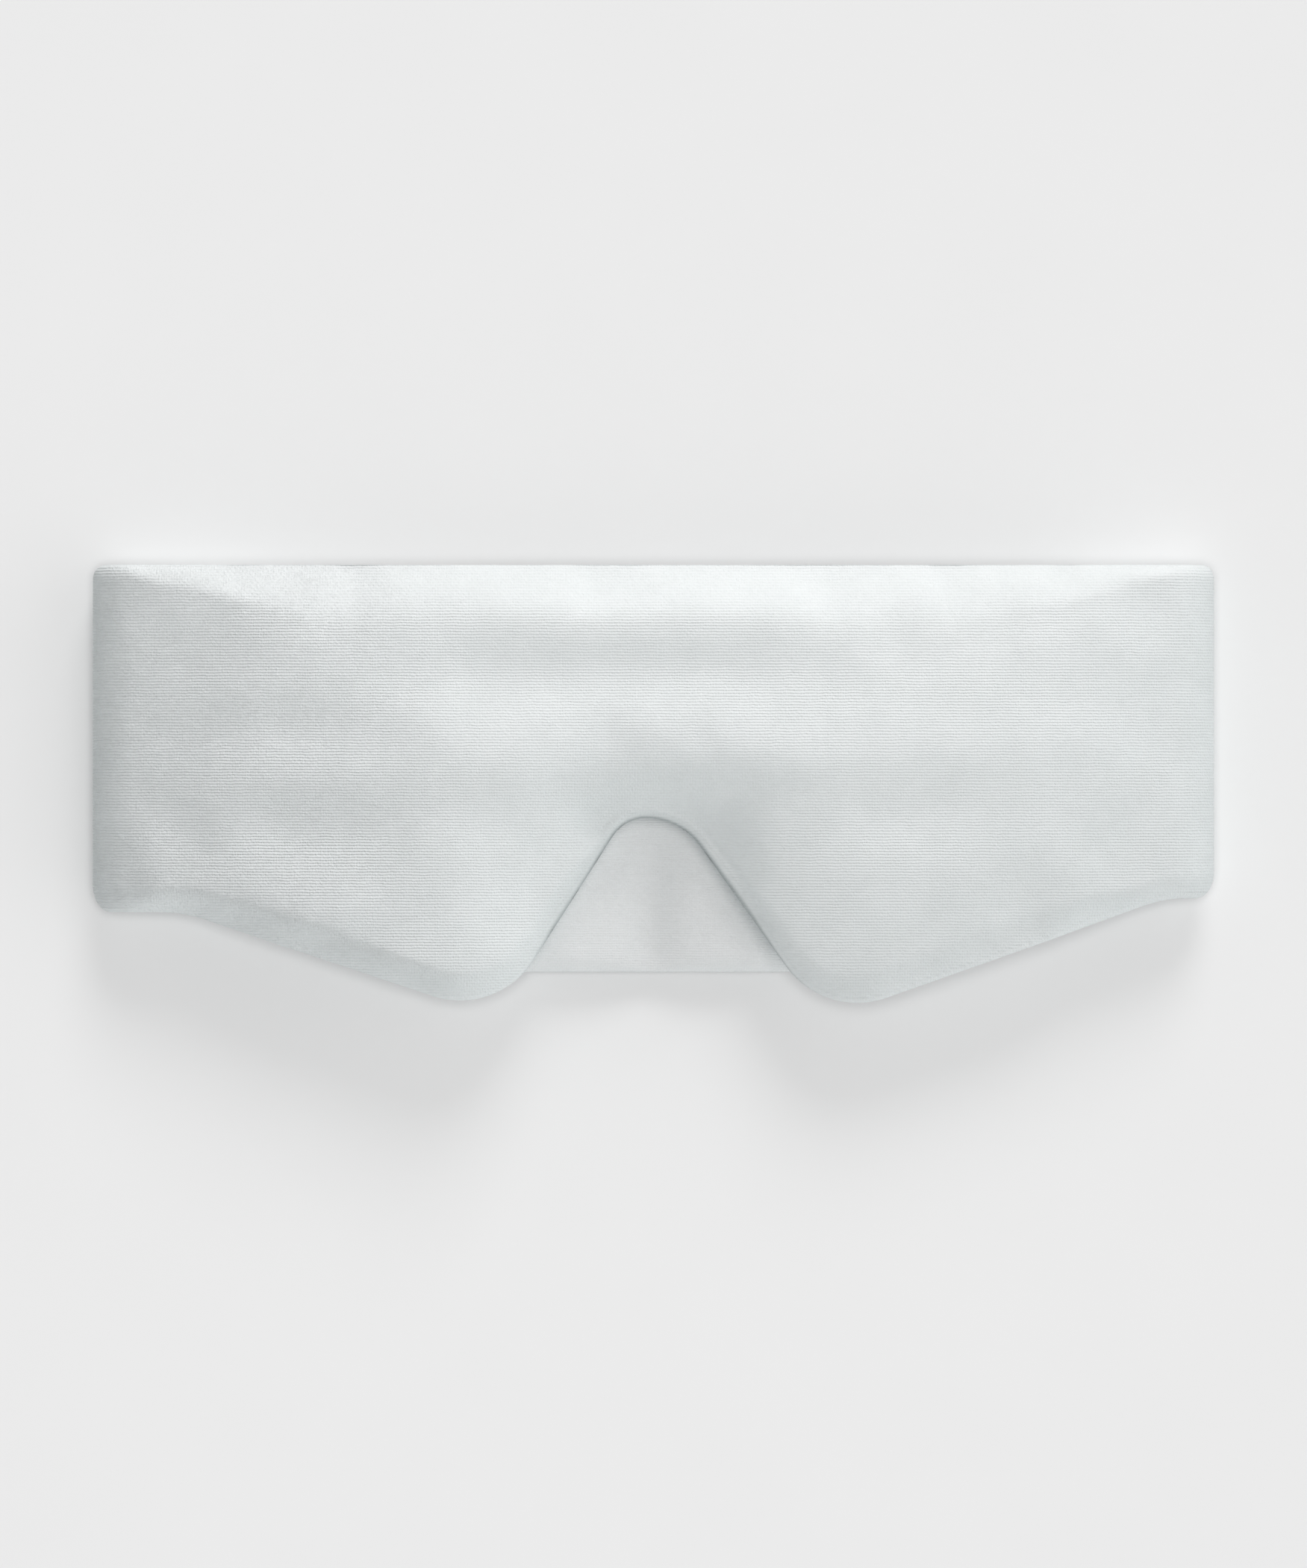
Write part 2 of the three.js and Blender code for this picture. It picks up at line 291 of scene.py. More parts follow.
KNIT_COURSE = 0.70 * MM
KNIT_WALE = 0.62 * MM
LINING_COURSE = 0.6 * MM
LINING_WALE = 0.55 * MM
SEAM_INSET = 1.3 * MM

APEX = (-1.8 * MM, -8.2 * MM)  # top of the nose notch
# lower edge of each half, in mm and degrees: radius and slope of the notch, radius and lowest point of the
# lobe, slope out to the side, height at the side
LEFT_HALF = {
    "notch_r": 9.5, "notch_deg": 57.5, "lobe_r": 21, "lobe_low": -51.9, "out_deg": 18.5, "side": -30.8,
}
RIGHT_HALF = {
    "notch_r": 16, "notch_deg": 54.5, "lobe_r": 21, "lobe_low": -52.4, "out_deg": 19.5, "side": -27.4,
}
SIDE_BLEND_R = 34 * MM
# edges of the straps, and the length along the cloth, from a fold, over which the band comes to them
STRAP_LOW = -45.3 * MM
STRAP_HIGH = 34 * MM
LOW_TAPER_START = 13 * MM
LOW_TAPER = 75 * MM
HIGH_TAPER = 90 * MM

# soft relief of the eye section: centre x, y, spread x, y, height (mm)
FRONT_RELIEF = [
    (-32, 45, 40, 7, 1.0),
    (-38, 26, 36, 10, -3.1),
    (22, 44, 28, 7, 0.8),
    (15, 27, 34, 9, -2.7),
    (-84, 13, 19, 7, -2.2),
    (-82, -11, 22, 10, -2.7),
    (-52, 14, 9, 9, 0.8),
    (-54, -13, 9, 7, 0.8),
    (-34, 4, 22, 10, 1.9),
    (-54, -43, 24, 10, 2.2),
    (-102, -26, 14, 6, 1.3),
    (-82, -32, 14, 6, 1.4),
    (75, 9, 46, 9, 1.7),
    (14, 5, 28, 8, 2.1),
    (60, -8, 20, 7, -0.8),
    (112, 38, 10, 10, 0.3),
    (112, -12, 14, 10, -0.8),
    (-112, 30, 18, 8, -1.0),
]
# the same beside the left fold, carried on over the fold's edge
FOLD_RELIEF = [(-120, -22, 7, 17, 1.7)]
# pinches beside the top of the notch, which reach right to its edge
NOTCH_PINCHES = [
    (-12, -10, 5.5, 6, -3.0),
    (13, -15, 9, 10, -3.6),
    (20, -25, 6, 8, -1.4),
    (1, -10, 9, 7, -2.6),
]
# the same for the strap's lining where it shows in the notch; height is towards the viewer
STRAP_RELIEF = [
    (-1, -34, 6, 20, -3.4),
    (-22, -38, 8, 14, 1.6),
    (17, -40, 8, 10, 0.9),
]


def smooth(t):
    """Eased step from 0 to 1 while t goes from 0 to 1."""
    t = np.clip(t, 0, 1)
    return t * t * (3 - 2 * t)


def mix(a, b, t):
    return a + (b - a) * t


def roll(d, r, power=QUARTER_ROUND):
    """Rise from 0 at an edge to 1 from distance r inwards: a quarter round, or softer with a higher power."""
    u = 1 - np.clip(d / r, 0, 1)
    return (1 - u * u) ** power


def relief(x, y, bumps):
    """Sum of round bumps and dips."""
    total = np.zeros(np.broadcast(x, y).shape)
    for cx, cy, sx, sy, h in bumps:
        total += h * MM * np.exp(-(((x / MM - cx) / sx) ** 2) - ((y / MM - cy) / sy) ** 2)
    return total


# ---- plan outline ----
def half_edge(h):
    """Lower edge of one half as a function of distance from the notch's axis."""
    notch = math.radians(h["notch_deg"])
    out = math.radians(h["out_deg"])
    rn, rl, low, side = (h[k] * MM for k in ("notch_r", "lobe_r", "lobe_low", "side"))
    x1, y1 = rn * math.sin(notch), APEX[1] - rn * (1 - math.cos(notch))
    cy = low + rl
    y2 = cy - rl * math.cos(notch)
    x2 = x1 + (y1 - y2) / math.tan(notch)
    cx = x2 + rl * math.sin(notch)
    x3, y3 = cx + rl * math.sin(out), cy - rl * math.cos(out)
    meet = x3 + (side - y3) / math.tan(out)
    reach = SIDE_BLEND_R * math.tan(out / 2)
    x4, x5 = meet - reach * math.cos(out), meet + reach

    def edge(x):
        pieces = [
            APEX[1] - rn + np.sqrt(np.maximum(rn**2 - x**2, 0)),
            y1 - (x - x1) * math.tan(notch),
            cy - np.sqrt(np.maximum(rl**2 - (x - cx) ** 2, 0)),
            y3 + (x - x3) * math.tan(out),
            side - SIDE_BLEND_R + np.sqrt(np.maximum(SIDE_BLEND_R**2 - (x - x5) ** 2, 0)),
        ]
        return np.select([x <= x1, x <= x2, x <= x3, x <= x4, x <= x5], pieces, side)

    return edge


LEFT_EDGE = half_edge(LEFT_HALF)
RIGHT_EDGE = half_edge(RIGHT_HALF)


def front_low(x):
    """Lower edge of the eye section."""
    d = x - APEX[0]
    return np.where(d < 0, LEFT_EDGE(-d), RIGHT_EDGE(d))


def band_low(w):
    """Lower edge along the whole band; w is the distance along the cloth from the middle of the front."""
    a = np.abs(w)
    front = front_low(np.clip(w, -PIVOT_X, PIVOT_X))
    start = np.where(w < 0, front_low(np.array(-PIVOT_X)), front_low(np.array(PIVOT_X)))
    in_from_fold = a - PIVOT_X - FOLD_ARC
    t = smooth((in_from_fold - LOW_TAPER_START) / LOW_TAPER)
    return np.where(a <= PIVOT_X, front, mix(start, STRAP_LOW, np.where(in_from_fold > 0, t, 0)))


def band_high(w):
    """Upper edge along the whole band."""
    in_from_fold = np.abs(w) - PIVOT_X - FOLD_ARC
    return mix(TOP_Y, STRAP_HIGH, smooth(in_from_fold / HIGH_TAPER))


def band_point(w, y, r):
    """Point of the band: r is its distance from the middle surface, outwards."""
    side = np.sign(w)
    a = np.abs(w)
    angle = np.pi * np.clip((a - PIVOT_X) / FOLD_ARC, 0, 1)
    along = np.where(a <= PIVOT_X, a, PIVOT_X - np.maximum(a - PIVOT_X - FOLD_ARC, 0))
    x = side * (along + r * np.sin(angle))
    z = MID_Z + r * np.cos(angle)
    return np.stack([x, y, z], axis=-1)


# ---- thickness of the band ----
LEFT_END_W = -(PIVOT_X + FOLD_ARC + PIVOT_X + LEFT_END_X)
RIGHT_END_W = PIVOT_X + FOLD_ARC + PIVOT_X - RIGHT_END_X


def strap_end_distance(w):
    """Distance along the cloth from the nearer strap's end."""
    return np.where(w < 0, w - LEFT_END_W, RIGHT_END_W - w)


def centre_weight(w, width):
    """0 at a fold and beyond, 1 over the eyes."""
    return smooth((PIVOT_X - np.abs(w)) / width)


def outer_rise(w):
    """Full distance of the outer cloth from the middle surface."""
    inwards = np.clip((PIVOT_X - np.abs(w)) / FRONT_RISE, 0, 1)
    quick = np.where(w < 0, LEFT_QUICK_SHARE, RIGHT_QUICK_SHARE)
    near_fold = 1 - np.exp(-np.maximum(PIVOT_X - np.abs(w), 0) / QUICK_RISE)
    front = mix(FOLD_R + FOLD_PROUD, PLUMP, mix(np.sin(inwards * np.pi / 2), near_fold, quick))
    angle = np.clip((np.abs(w) - PIVOT_X) / FOLD_ARC, 0, 0.5) * np.pi
    fold = FOLD_R + FOLD_PROUD * (1 - np.sin(angle)) ** 2
    x = PIVOT_X - np.maximum(np.abs(w) - PIVOT_X - FOLD_ARC, 0)
    lifted = CLOSURE_LIFT * (1 - smooth((x - STEP_X) / STEP_RUN))
    rise = np.where(np.abs(w) < PIVOT_X, front, fold)
    return np.where(w > PIVOT_X + FOLD_ARC, FOLD_R - lifted, rise)


def notch_weight(w, reach):
    """1 at the notch's axis, fading with distance to either side."""
    return np.exp(-((w - APEX[0]) / reach) ** 2)


def seam_rise(w, upper):
    """Distance of the edge seam from the middle surface."""
    at_fold = UPPER_SEAM_AT_FOLD if upper else LOWER_SEAM_AT_FOLD
    lower = np.where(w < 0, LOWER_SEAM_LEFT, LOWER_SEAM_RIGHT)
    lower = mix(lower, LOWER_SEAM_AT_NOTCH, notch_weight(w, NOTCH_SEAM_REACH))
    rise = mix(at_fold, UPPER_SEAM if upper else lower, centre_weight(w, SEAM_RUN))
    end = strap_end_distance(w)
    in_from_fold = np.abs(w) - PIVOT_X - FOLD_ARC
    on_strap = np.abs(w) > PIVOT_X + FOLD_ARC
    rise = np.where(on_strap, mix(at_fold, STRAP_SEAM, smooth(in_from_fold / STRAP_SETTLE)), rise)
    at_left_end = mix(LEFT_END_SEAM, rise, smooth(end / LEFT_END_SETTLE))
    rise = np.where(on_strap & (w < 0), at_left_end, rise)
    at_right_end = mix(RIGHT_END_SEAM, rise, smooth((end - STRAP_SETTLE) / STRAP_SETTLE))
    return np.where(on_strap & (w > 0), at_right_end, rise)


def edge_radii(w):
    """Widths of the rolled lower and upper edge of the outer cloth."""
    over_eyes = np.where(w < 0, LOW_RADIUS_LEFT, LOW_RADIUS_RIGHT)
    low = mix(LOW_RADIUS_AT_FOLD, over_eyes, centre_weight(w, LOW_RADIUS_RUN))
    low = mix(low, LOW_RADIUS_AT_NOTCH, notch_weight(w, NOTCH_EDGE_REACH))
    from_fold = np.clip((PIVOT_X - np.abs(w)) / HIGH_RADIUS_RUN, 0, 1)
    return low, mix(HIGH_RADIUS_AT_FOLD, HIGH_RADIUS, from_fold)


def slack(w, y, d_low, d_high):
    """How much less the cloth stands up away from the crown, most of all round the nose notch."""
    t = centre_weight(w, SLACK_RUN)
    near = notch_weight(w, NOTCH_SLACK_REACH)
    above = notch_weight(w, NOTCH_TOP_REACH)
    right = smooth((w - APEX[0]) / NOTCH_SIDE_CHANGE + 0.5)
    depth = mix(mix(NOTCH_LEFT_DEPTH, NOTCH_RIGHT_DEPTH, right), NOTCH_TOP_DEPTH, above)
    drop = mix(np.where(w < 0, LEFT_DROP, RIGHT_DROP), mix(NOTCH_DROP, NOTCH_TOP_DROP, above), near)
    low = t * drop * np.exp(-((d_low / mix(LOW_DEPTH, depth, near)) ** 2))
    high = HIGH_DROP * t * np.exp(-((d_high / HIGH_DEPTH) ** 2))
    below_crown = np.clip((CROWN_Y - y) / CROWN_LENGTH, 0, 1)
    crown = np.where(w < 0, 0, RIGHT_CROWN_DROP) * t * below_crown**2
    return (1 - low) * (1 - high) * (1 - crown)


def outline_distance(x, y):
    """Distance of plan points from the eye section's lower edge."""
    ox = np.arange(-PIVOT_X - OUTLINE_MARGIN, PIVOT_X + OUTLINE_MARGIN, OUTLINE_STEP)
    oy = front_low(ox)
    flat_x, flat_y = x.ravel(), y.ravel()
    nearest = np.empty(flat_x.shape)
    for k in range(0, len(nearest), OUTLINE_BLOCK):
        block = slice(k, k + OUTLINE_BLOCK)
        dx = flat_x[block, None] - ox
        dy = flat_y[block, None] - oy
        nearest[block] = np.sqrt((dx * dx + dy * dy).min(axis=1))
    return nearest.reshape(x.shape)


def rows_across(w, low_r, high_r, n_edge, n_mid):
    """y of every grid point: close rows over both rolled edges, even rows between."""
    step = 0.05 * MM
    most = 0.55  # of the cloth's width, for the lower edge's rows
    low, high = band_low(w), band_high(w)
    tilt = np.arctan((band_low(w + step) - band_low(w - step)) / (2 * step))
    reach = np.minimum(low_r / np.cos(tilt), most * (high - low))
    turn = np.linspace(0, np.pi / 2, n_edge)
    lower = low[:, None] + reach[:, None] * (1 - np.cos(turn))
    upper = high[:, None] - high_r[:, None] * (1 - np.cos(turn[::-1]))
    t = np.linspace(0, 1, n_mid + 2)[1:-1]
    middle = mix((low + reach)[:, None], (high - high_r)[:, None], t)
    return np.concatenate([lower, middle, upper], axis=1)


def band_grid(w, outer):
    """Grid of points over the whole band, and for each its distance from the two edge seams."""
    low_r, high_r = edge_radii(w)
    if not outer:
        low_r, high_r = np.minimum(low_r, LINING_LOW_RADIUS), np.minimum(high_r, LINING_HIGH_RADIUS)
    y = rows_across(w, low_r, high_r, *(OUTER_ROWS if outer else LINING_ROWS))
    ww = np.broadcast_to(w[:, None], y.shape)
    on_front = np.abs(ww) <= PIVOT_X
    d_low = np.where(on_front, outline_distance(np.clip(ww, -PIVOT_X, PIVOT_X), y), y - band_low(ww))
    d_low[:, 0] = 0
    d_high = band_high(ww) - y
    over_eyes = centre_weight(ww, EDGE_POWER_RUN)
    soft_low = soft_high = QUARTER_ROUND
    if outer:
        soft_low = np.where(ww < 0, LEFT_EDGE_POWER, RIGHT_EDGE_POWER)
        soft_low = mix(soft_low, NOTCH_EDGE_POWER, notch_weight(ww, NOTCH_EDGE_REACH))
        soft_high = TOP_EDGE_POWER
    lift_low = roll(d_low, low_r[:, None], mix(QUARTER_ROUND, soft_low, over_eyes))
    lift_high = roll(d_high, high_r[:, None], mix(QUARTER_ROUND, soft_high, over_eyes))
    lift_end = roll(strap_end_distance(ww), END_RADIUS if outer else LINING_END_RADIUS)
    across = d_low / np.maximum(d_low + d_high, 1e-9)
    seam = mix(seam_rise(ww, False), seam_rise(ww, True), across)
    lift = lift_low * lift_high * lift_end
    if outer:
        full = outer_rise(ww) * slack(ww, y, d_low, d_high)
        r = seam + (full - seam) * lift
        r += relief(ww, y, FRONT_RELIEF) * lift * on_front * centre_weight(ww, RELIEF_RUN)
        r += relief(ww, y, FOLD_RELIEF) * lift
        r += relief(ww, y, NOTCH_PINCHES) * smooth(d_low / PINCH_EDGE) * on_front
    else:
        x = np.sign(ww) * (2 * PIVOT_X + FOLD_ARC - np.abs(ww))
        on_strap = np.abs(ww) > PIVOT_X + FOLD_ARC
        r = seam - (seam - LINING_R) * lift
        r -= relief(x, y, STRAP_RELIEF) * lift * on_strap
    return band_point(ww, y, r), d_low, d_high


# ---- mesh building ----
def grid_quads(nu, nv):
    """Quads of a grid of nu by nv points."""
    index = np.arange(nu * nv).reshape(nu, nv)
    corners = [index[:-1, :-1], index[1:, :-1], index[1:, 1:], index[:-1, 1:]]
    return np.stack(corners, axis=-1).reshape(-1, 4)


def new_object(name, verts, faces, material):
    """Smooth-shaded mesh object in the scene."""
    mesh = bpy.data.meshes.new(name)
    mesh.from_pydata([tuple(map(float, v)) for v in verts], [], faces)
    mesh.polygons.foreach_set("use_smooth", [True] * len(mesh.polygons))
    mesh.update()
    obj = bpy.data.objects.new(name, mesh)
    bpy.context.scene.collection.objects.link(obj)
    if material:
        obj.data.materials.append(material)
    return obj


def grid_normals(p):
    """Unit normals of a grid of points."""
    n = np.cross(np.gradient(p, axis=0), np.gradient(p, axis=1))
    return n / np.maximum(np.linalg.norm(n, axis=-1, keepdims=True), 1e-12)


def grid_object(name, points, normals, weave, seams, material, flip):
    """Sheet of quads over a grid of points, with the cloth's own coordinates as UVs."""
    quads = grid_quads(*points.shape[:2])
    if flip:
        quads = quads[:, ::-1]
        normals = -normals
    obj = new_object(name, points.reshape(-1, 3), quads.tolist(), material)
    loops = quads.ravel()
    for layer, values in (("weave", weave), ("seam", seams)):
        uv = obj.data.uv_layers.new(name=layer)
        uv.data.foreach_set("uv", values.reshape(-1, 2)[loops].ravel())
    obj.data.normals_split_custom_set_from_vertices(normals.reshape(-1, 3).tolist())
    return obj


# ---- cloth ----
def soften(field, passes):
    """Binomial smoothing over a grid, edges held."""
    for _ in range(passes):
        for axis in (0, 1):
            ahead = np.roll(field, -1, axis=axis)
            behind = np.roll(field, 1, axis=axis)
            mean = 0.25 * ahead + 0.5 * field + 0.25 * behind
            inside = [slice(None)] * field.ndim
            inside[axis] = slice(1, -1)
            field = field.copy()
            field[tuple(inside)] = mean[tuple(inside)]
    return field


def cloth_pass(points, step, pressure, growth, cap):
    """Blows up a coarse copy of a grid of cloth, held at its border, and returns how far each point moves."""
    nu, nv = points.shape[:2]
    iu = np.unique(np.append(np.arange(0, nu, step), nu - 1))
    iv = np.unique(np.append(np.arange(0, nv, step), nv - 1))
    coarse = points[np.ix_(iu, iv)]
    sheet = new_object("cloth_work", coarse.reshape(-1, 3), grid_quads(len(iu), len(iv)).tolist(), None)
    index = np.arange(len(iu) * len(iv)).reshape(len(iu), len(iv))
    border = sorted(set(index[0]) | set(index[-1]) | set(index[:, 0]) | set(index[:, -1]))
    sheet.vertex_groups.new(name="held").add([int(i) for i in border], 1.0, "REPLACE")
    cloth = sheet.modifiers.new("cloth", "CLOTH")
    settings = cloth.settings
    settings.quality = 8
    settings.mass = 0.12
    settings.air_damping = 4
    settings.tension_stiffness = settings.compression_stiffness = 14
    settings.shear_stiffness = 6
    settings.bending_stiffness = 0.35
    settings.vertex_group_mass = "held"
    settings.use_pressure = True
    settings.uniform_pressure_force = pressure
    settings.shrink_min = -growth
    settings.effector_weights.gravity = 0
    cloth.collision_settings.use_collision = False
    scene = bpy.context.scene
    scene.frame_start, scene.frame_end = 1, CLOTH_FRAMES
    cloth.point_cache.frame_start, cloth.point_cache.frame_end = 1, CLOTH_FRAMES
    for f in range(1, CLOTH_FRAMES + 1):
        scene.frame_set(f)
    done = sheet.evaluated_get(bpy.context.evaluated_depsgraph_get())
    after = np.array([v.co[:] for v in done.data.vertices]).reshape(coarse.shape)
    scene.frame_set(1)
    bpy.data.objects.remove(sheet)
    move = after - coarse
    size = np.linalg.norm(move, axis=-1, keepdims=True)
    move *= np.minimum(1, cap / np.maximum(size, 1e-9))
    rows = np.stack([[np.interp(np.arange(nv), iv, m[:, k]) for k in range(3)] for m in move])
    fine = np.stack([[np.interp(np.arange(nu), iu, rows[:, k, j]) for k in range(3)] for j in range(nv)])
    return soften(np.transpose(fine, (2, 0, 1)), 3 * step)


# ---- materials ----
EXP_BASE = 2.718
# noise scales are per metre; shares make up the knit's relief, and tones are steps on the way from its dark
# colour to its light one
WOBBLE_SCALE = 260
ROW_WOBBLE = 0.32 * MM
FUZZ_SCALE = 2000
FUZZ_SHARE = 1.6
ROW_SHARE = 0.5
COLUMN_SHARE = 0.06
OFFSET_SHARE = 0.08
MOTTLING_SCALE = 90
MOTTLING_TONE = 0.55
BASE_TONE = 0.35
# painted shade: how much darker the low parts of the knit's relief are; the fuzz in that relief adds random tone
GROOVE_SHADE_AND_FUZZ_TONE = 0.09
RIPPLE_SCALE = 34
RIPPLE_DEPTH = 0.9 * MM
RIPPLE_STRENGTH = 0.25
# the knit is rougher on the left, from here on, and there its colour is painted lighter to offset the shade of that
# deeper relief
LOOSE_FROM = -42 * MM
LOOSE_RUN = 40 * MM
LOOSE_RELIEF = 0.8
LEFT_PAINTED_LIFT = 0.2
# seam line beside the lower edge, and the edge itself: a painted highlight along the edges, and painted shadow along
# the notch's edge
SEAM_LINE_WIDTH = 0.32 * MM
SEAM_LINE_TONE = -0.10
SEAM_DEPTH = 0.2 * MM
SEAM_STRENGTH = 0.35
PUCKER_PITCH = 3.1 * MM
PUCKER_SHARE = 0.35
# painted highlight along the edges: its width, which also sets how far the puckers reach, and its strength
RIM_WIDTH = 1.8 * MM
PAINTED_RIM_HIGHLIGHT = 0.45
# painted shadow along the notch's edge: its width, strength and dark colour
NOTCH_SHADOW_WIDTH = 0.42 * MM
NOTCH_SHADOW_STRENGTH = 0.75
NOTCH_SHADOW_COLOR = (0.28, 0.33, 0.335)
NOTCH_MID_U = 3 * MM
NOTCH_HALF_U = 33 * MM
SHEEN_ROUGH = 0.45
KNIT_ROUGH = 0.93
KNIT_SHEEN = 0.35
KNIT_SPECULAR = 0.2
WEAVE_FUZZ_SCALE = 1800
WEAVE_FUZZ_SHARE = 0.8
# painted shade: how much darker the low parts of the weave are; the fuzz adds random tone
WEAVE_GROOVE_SHADE_AND_FUZZ_TONE = 0.25
WEAVE_BASE_TONE = 0.4
WEAVE_STRENGTH = 0.6
WEAVE_SPECULAR = 0.35


class Nodes:
    """Short hand for building the node tree of a new material or world."""

    def __init__(self, owner):
        owner.use_nodes = True
        self.owner = owner
        self.tree = owner.node_tree

    def link(self, source, target):
        self.tree.links.new(source, target)

    def feed(self, socket, value):
        if hasattr(value, "is_output"):
            self.link(value, socket)
        else:
            socket.default_value = value

    def math(self, operation, a, b=0.0, c=0.0):
        node = self.tree.nodes.new("ShaderNodeMath")
        node.operation = operation
        for socket, value in zip(node.inputs, (a, b, c)):
            self.feed(socket, value)
        return node.outputs[0]

    def clamp(self, x):
        """x held between 0 and 1."""
        return self.math("MINIMUM", self.math("MAXIMUM", x, 0.0), 1.0)

    def square(self, x):
        return self.math("MULTIPLY", x, x)

    def wave(self, x, pitch):
        """Sine of x that comes round once per pitch."""
        return self.math("SINE", self.math("MULTIPLY", x, 2 * math.pi / pitch))

    def decay(self, x):
        """1 at zero, falling off exponentially."""
        return self.math("POWER", EXP_BASE, self.math("MULTIPLY", x, -1.0))

    def bell(self, x):
        """1 at zero, falling off like a Gauss curve to both sides."""
        return self.decay(self.square(x))

    def split(self, vector):
        """The three coordinates of a vector."""
        node = self.tree.nodes.new("ShaderNodeSeparateXYZ")
        self.link(vector, node.inputs[0])
        return node.outputs[0], node.outputs[1], node.outputs[2]

    def uv(self, layer):
        """A UV layer as a vector and as its two coordinates."""
        node = self.tree.nodes.new("ShaderNodeUVMap")
        node.uv_map = layer
        u, v, _ = self.split(node.outputs[0])
        return node.outputs[0], u, v

    def coordinates(self, kind):
        """Place in the object's own space ("Object"), or direction of view ("Generated", in a world)."""
        return self.tree.nodes.new("ShaderNodeTexCoord").outputs[kind]

    def noise(self, vector, scale, detail=2.0, rough=0.5):
        node = self.tree.nodes.new("ShaderNodeTexNoise")
        node.inputs["Scale"].default_value = scale
        node.inputs["Detail"].default_value = detail
        node.inputs["Roughness"].default_value = rough
        self.feed(node.inputs["Vector"], vector)
        return node.outputs[0]

    def ramp(self, factor, low, high):
        """Mix of two colours; low may also be a socket."""
        node = self.tree.nodes.new("ShaderNodeMix")
        node.data_type = "RGBA"
        self.feed(node.inputs["Factor"], factor)
        self.feed(node.inputs[6], low if hasattr(low, "is_output") else (*low, 1))
        node.inputs[7].default_value = (*high, 1)
        return node.outputs[2]

    def bump(self, height, distance, strength=1.0, before=None):
        node = self.tree.nodes.new("ShaderNodeBump")
        node.inputs["Distance"].default_value = distance
        node.inputs["Strength"].default_value = strength
        self.feed(node.inputs["Height"], height)
        if before is not None:
            self.link(before, node.inputs["Normal"])
        return node.outputs[0]

    def finish(self, color, rough, normal=None, sheen=0.0, specular=0.3):
        s = self.tree.nodes["Principled BSDF"].inputs
        self.link(color, s["Base Color"])
        s["Roughness"].default_value = rough
        s["Specular IOR Level"].default_value = specular
        s["Sheen Weight"].default_value = sheen
        s["Sheen Roughness"].default_value = SHEEN_ROUGH
        if normal is not None:
            self.link(normal, s["Normal"])
        return self.owner


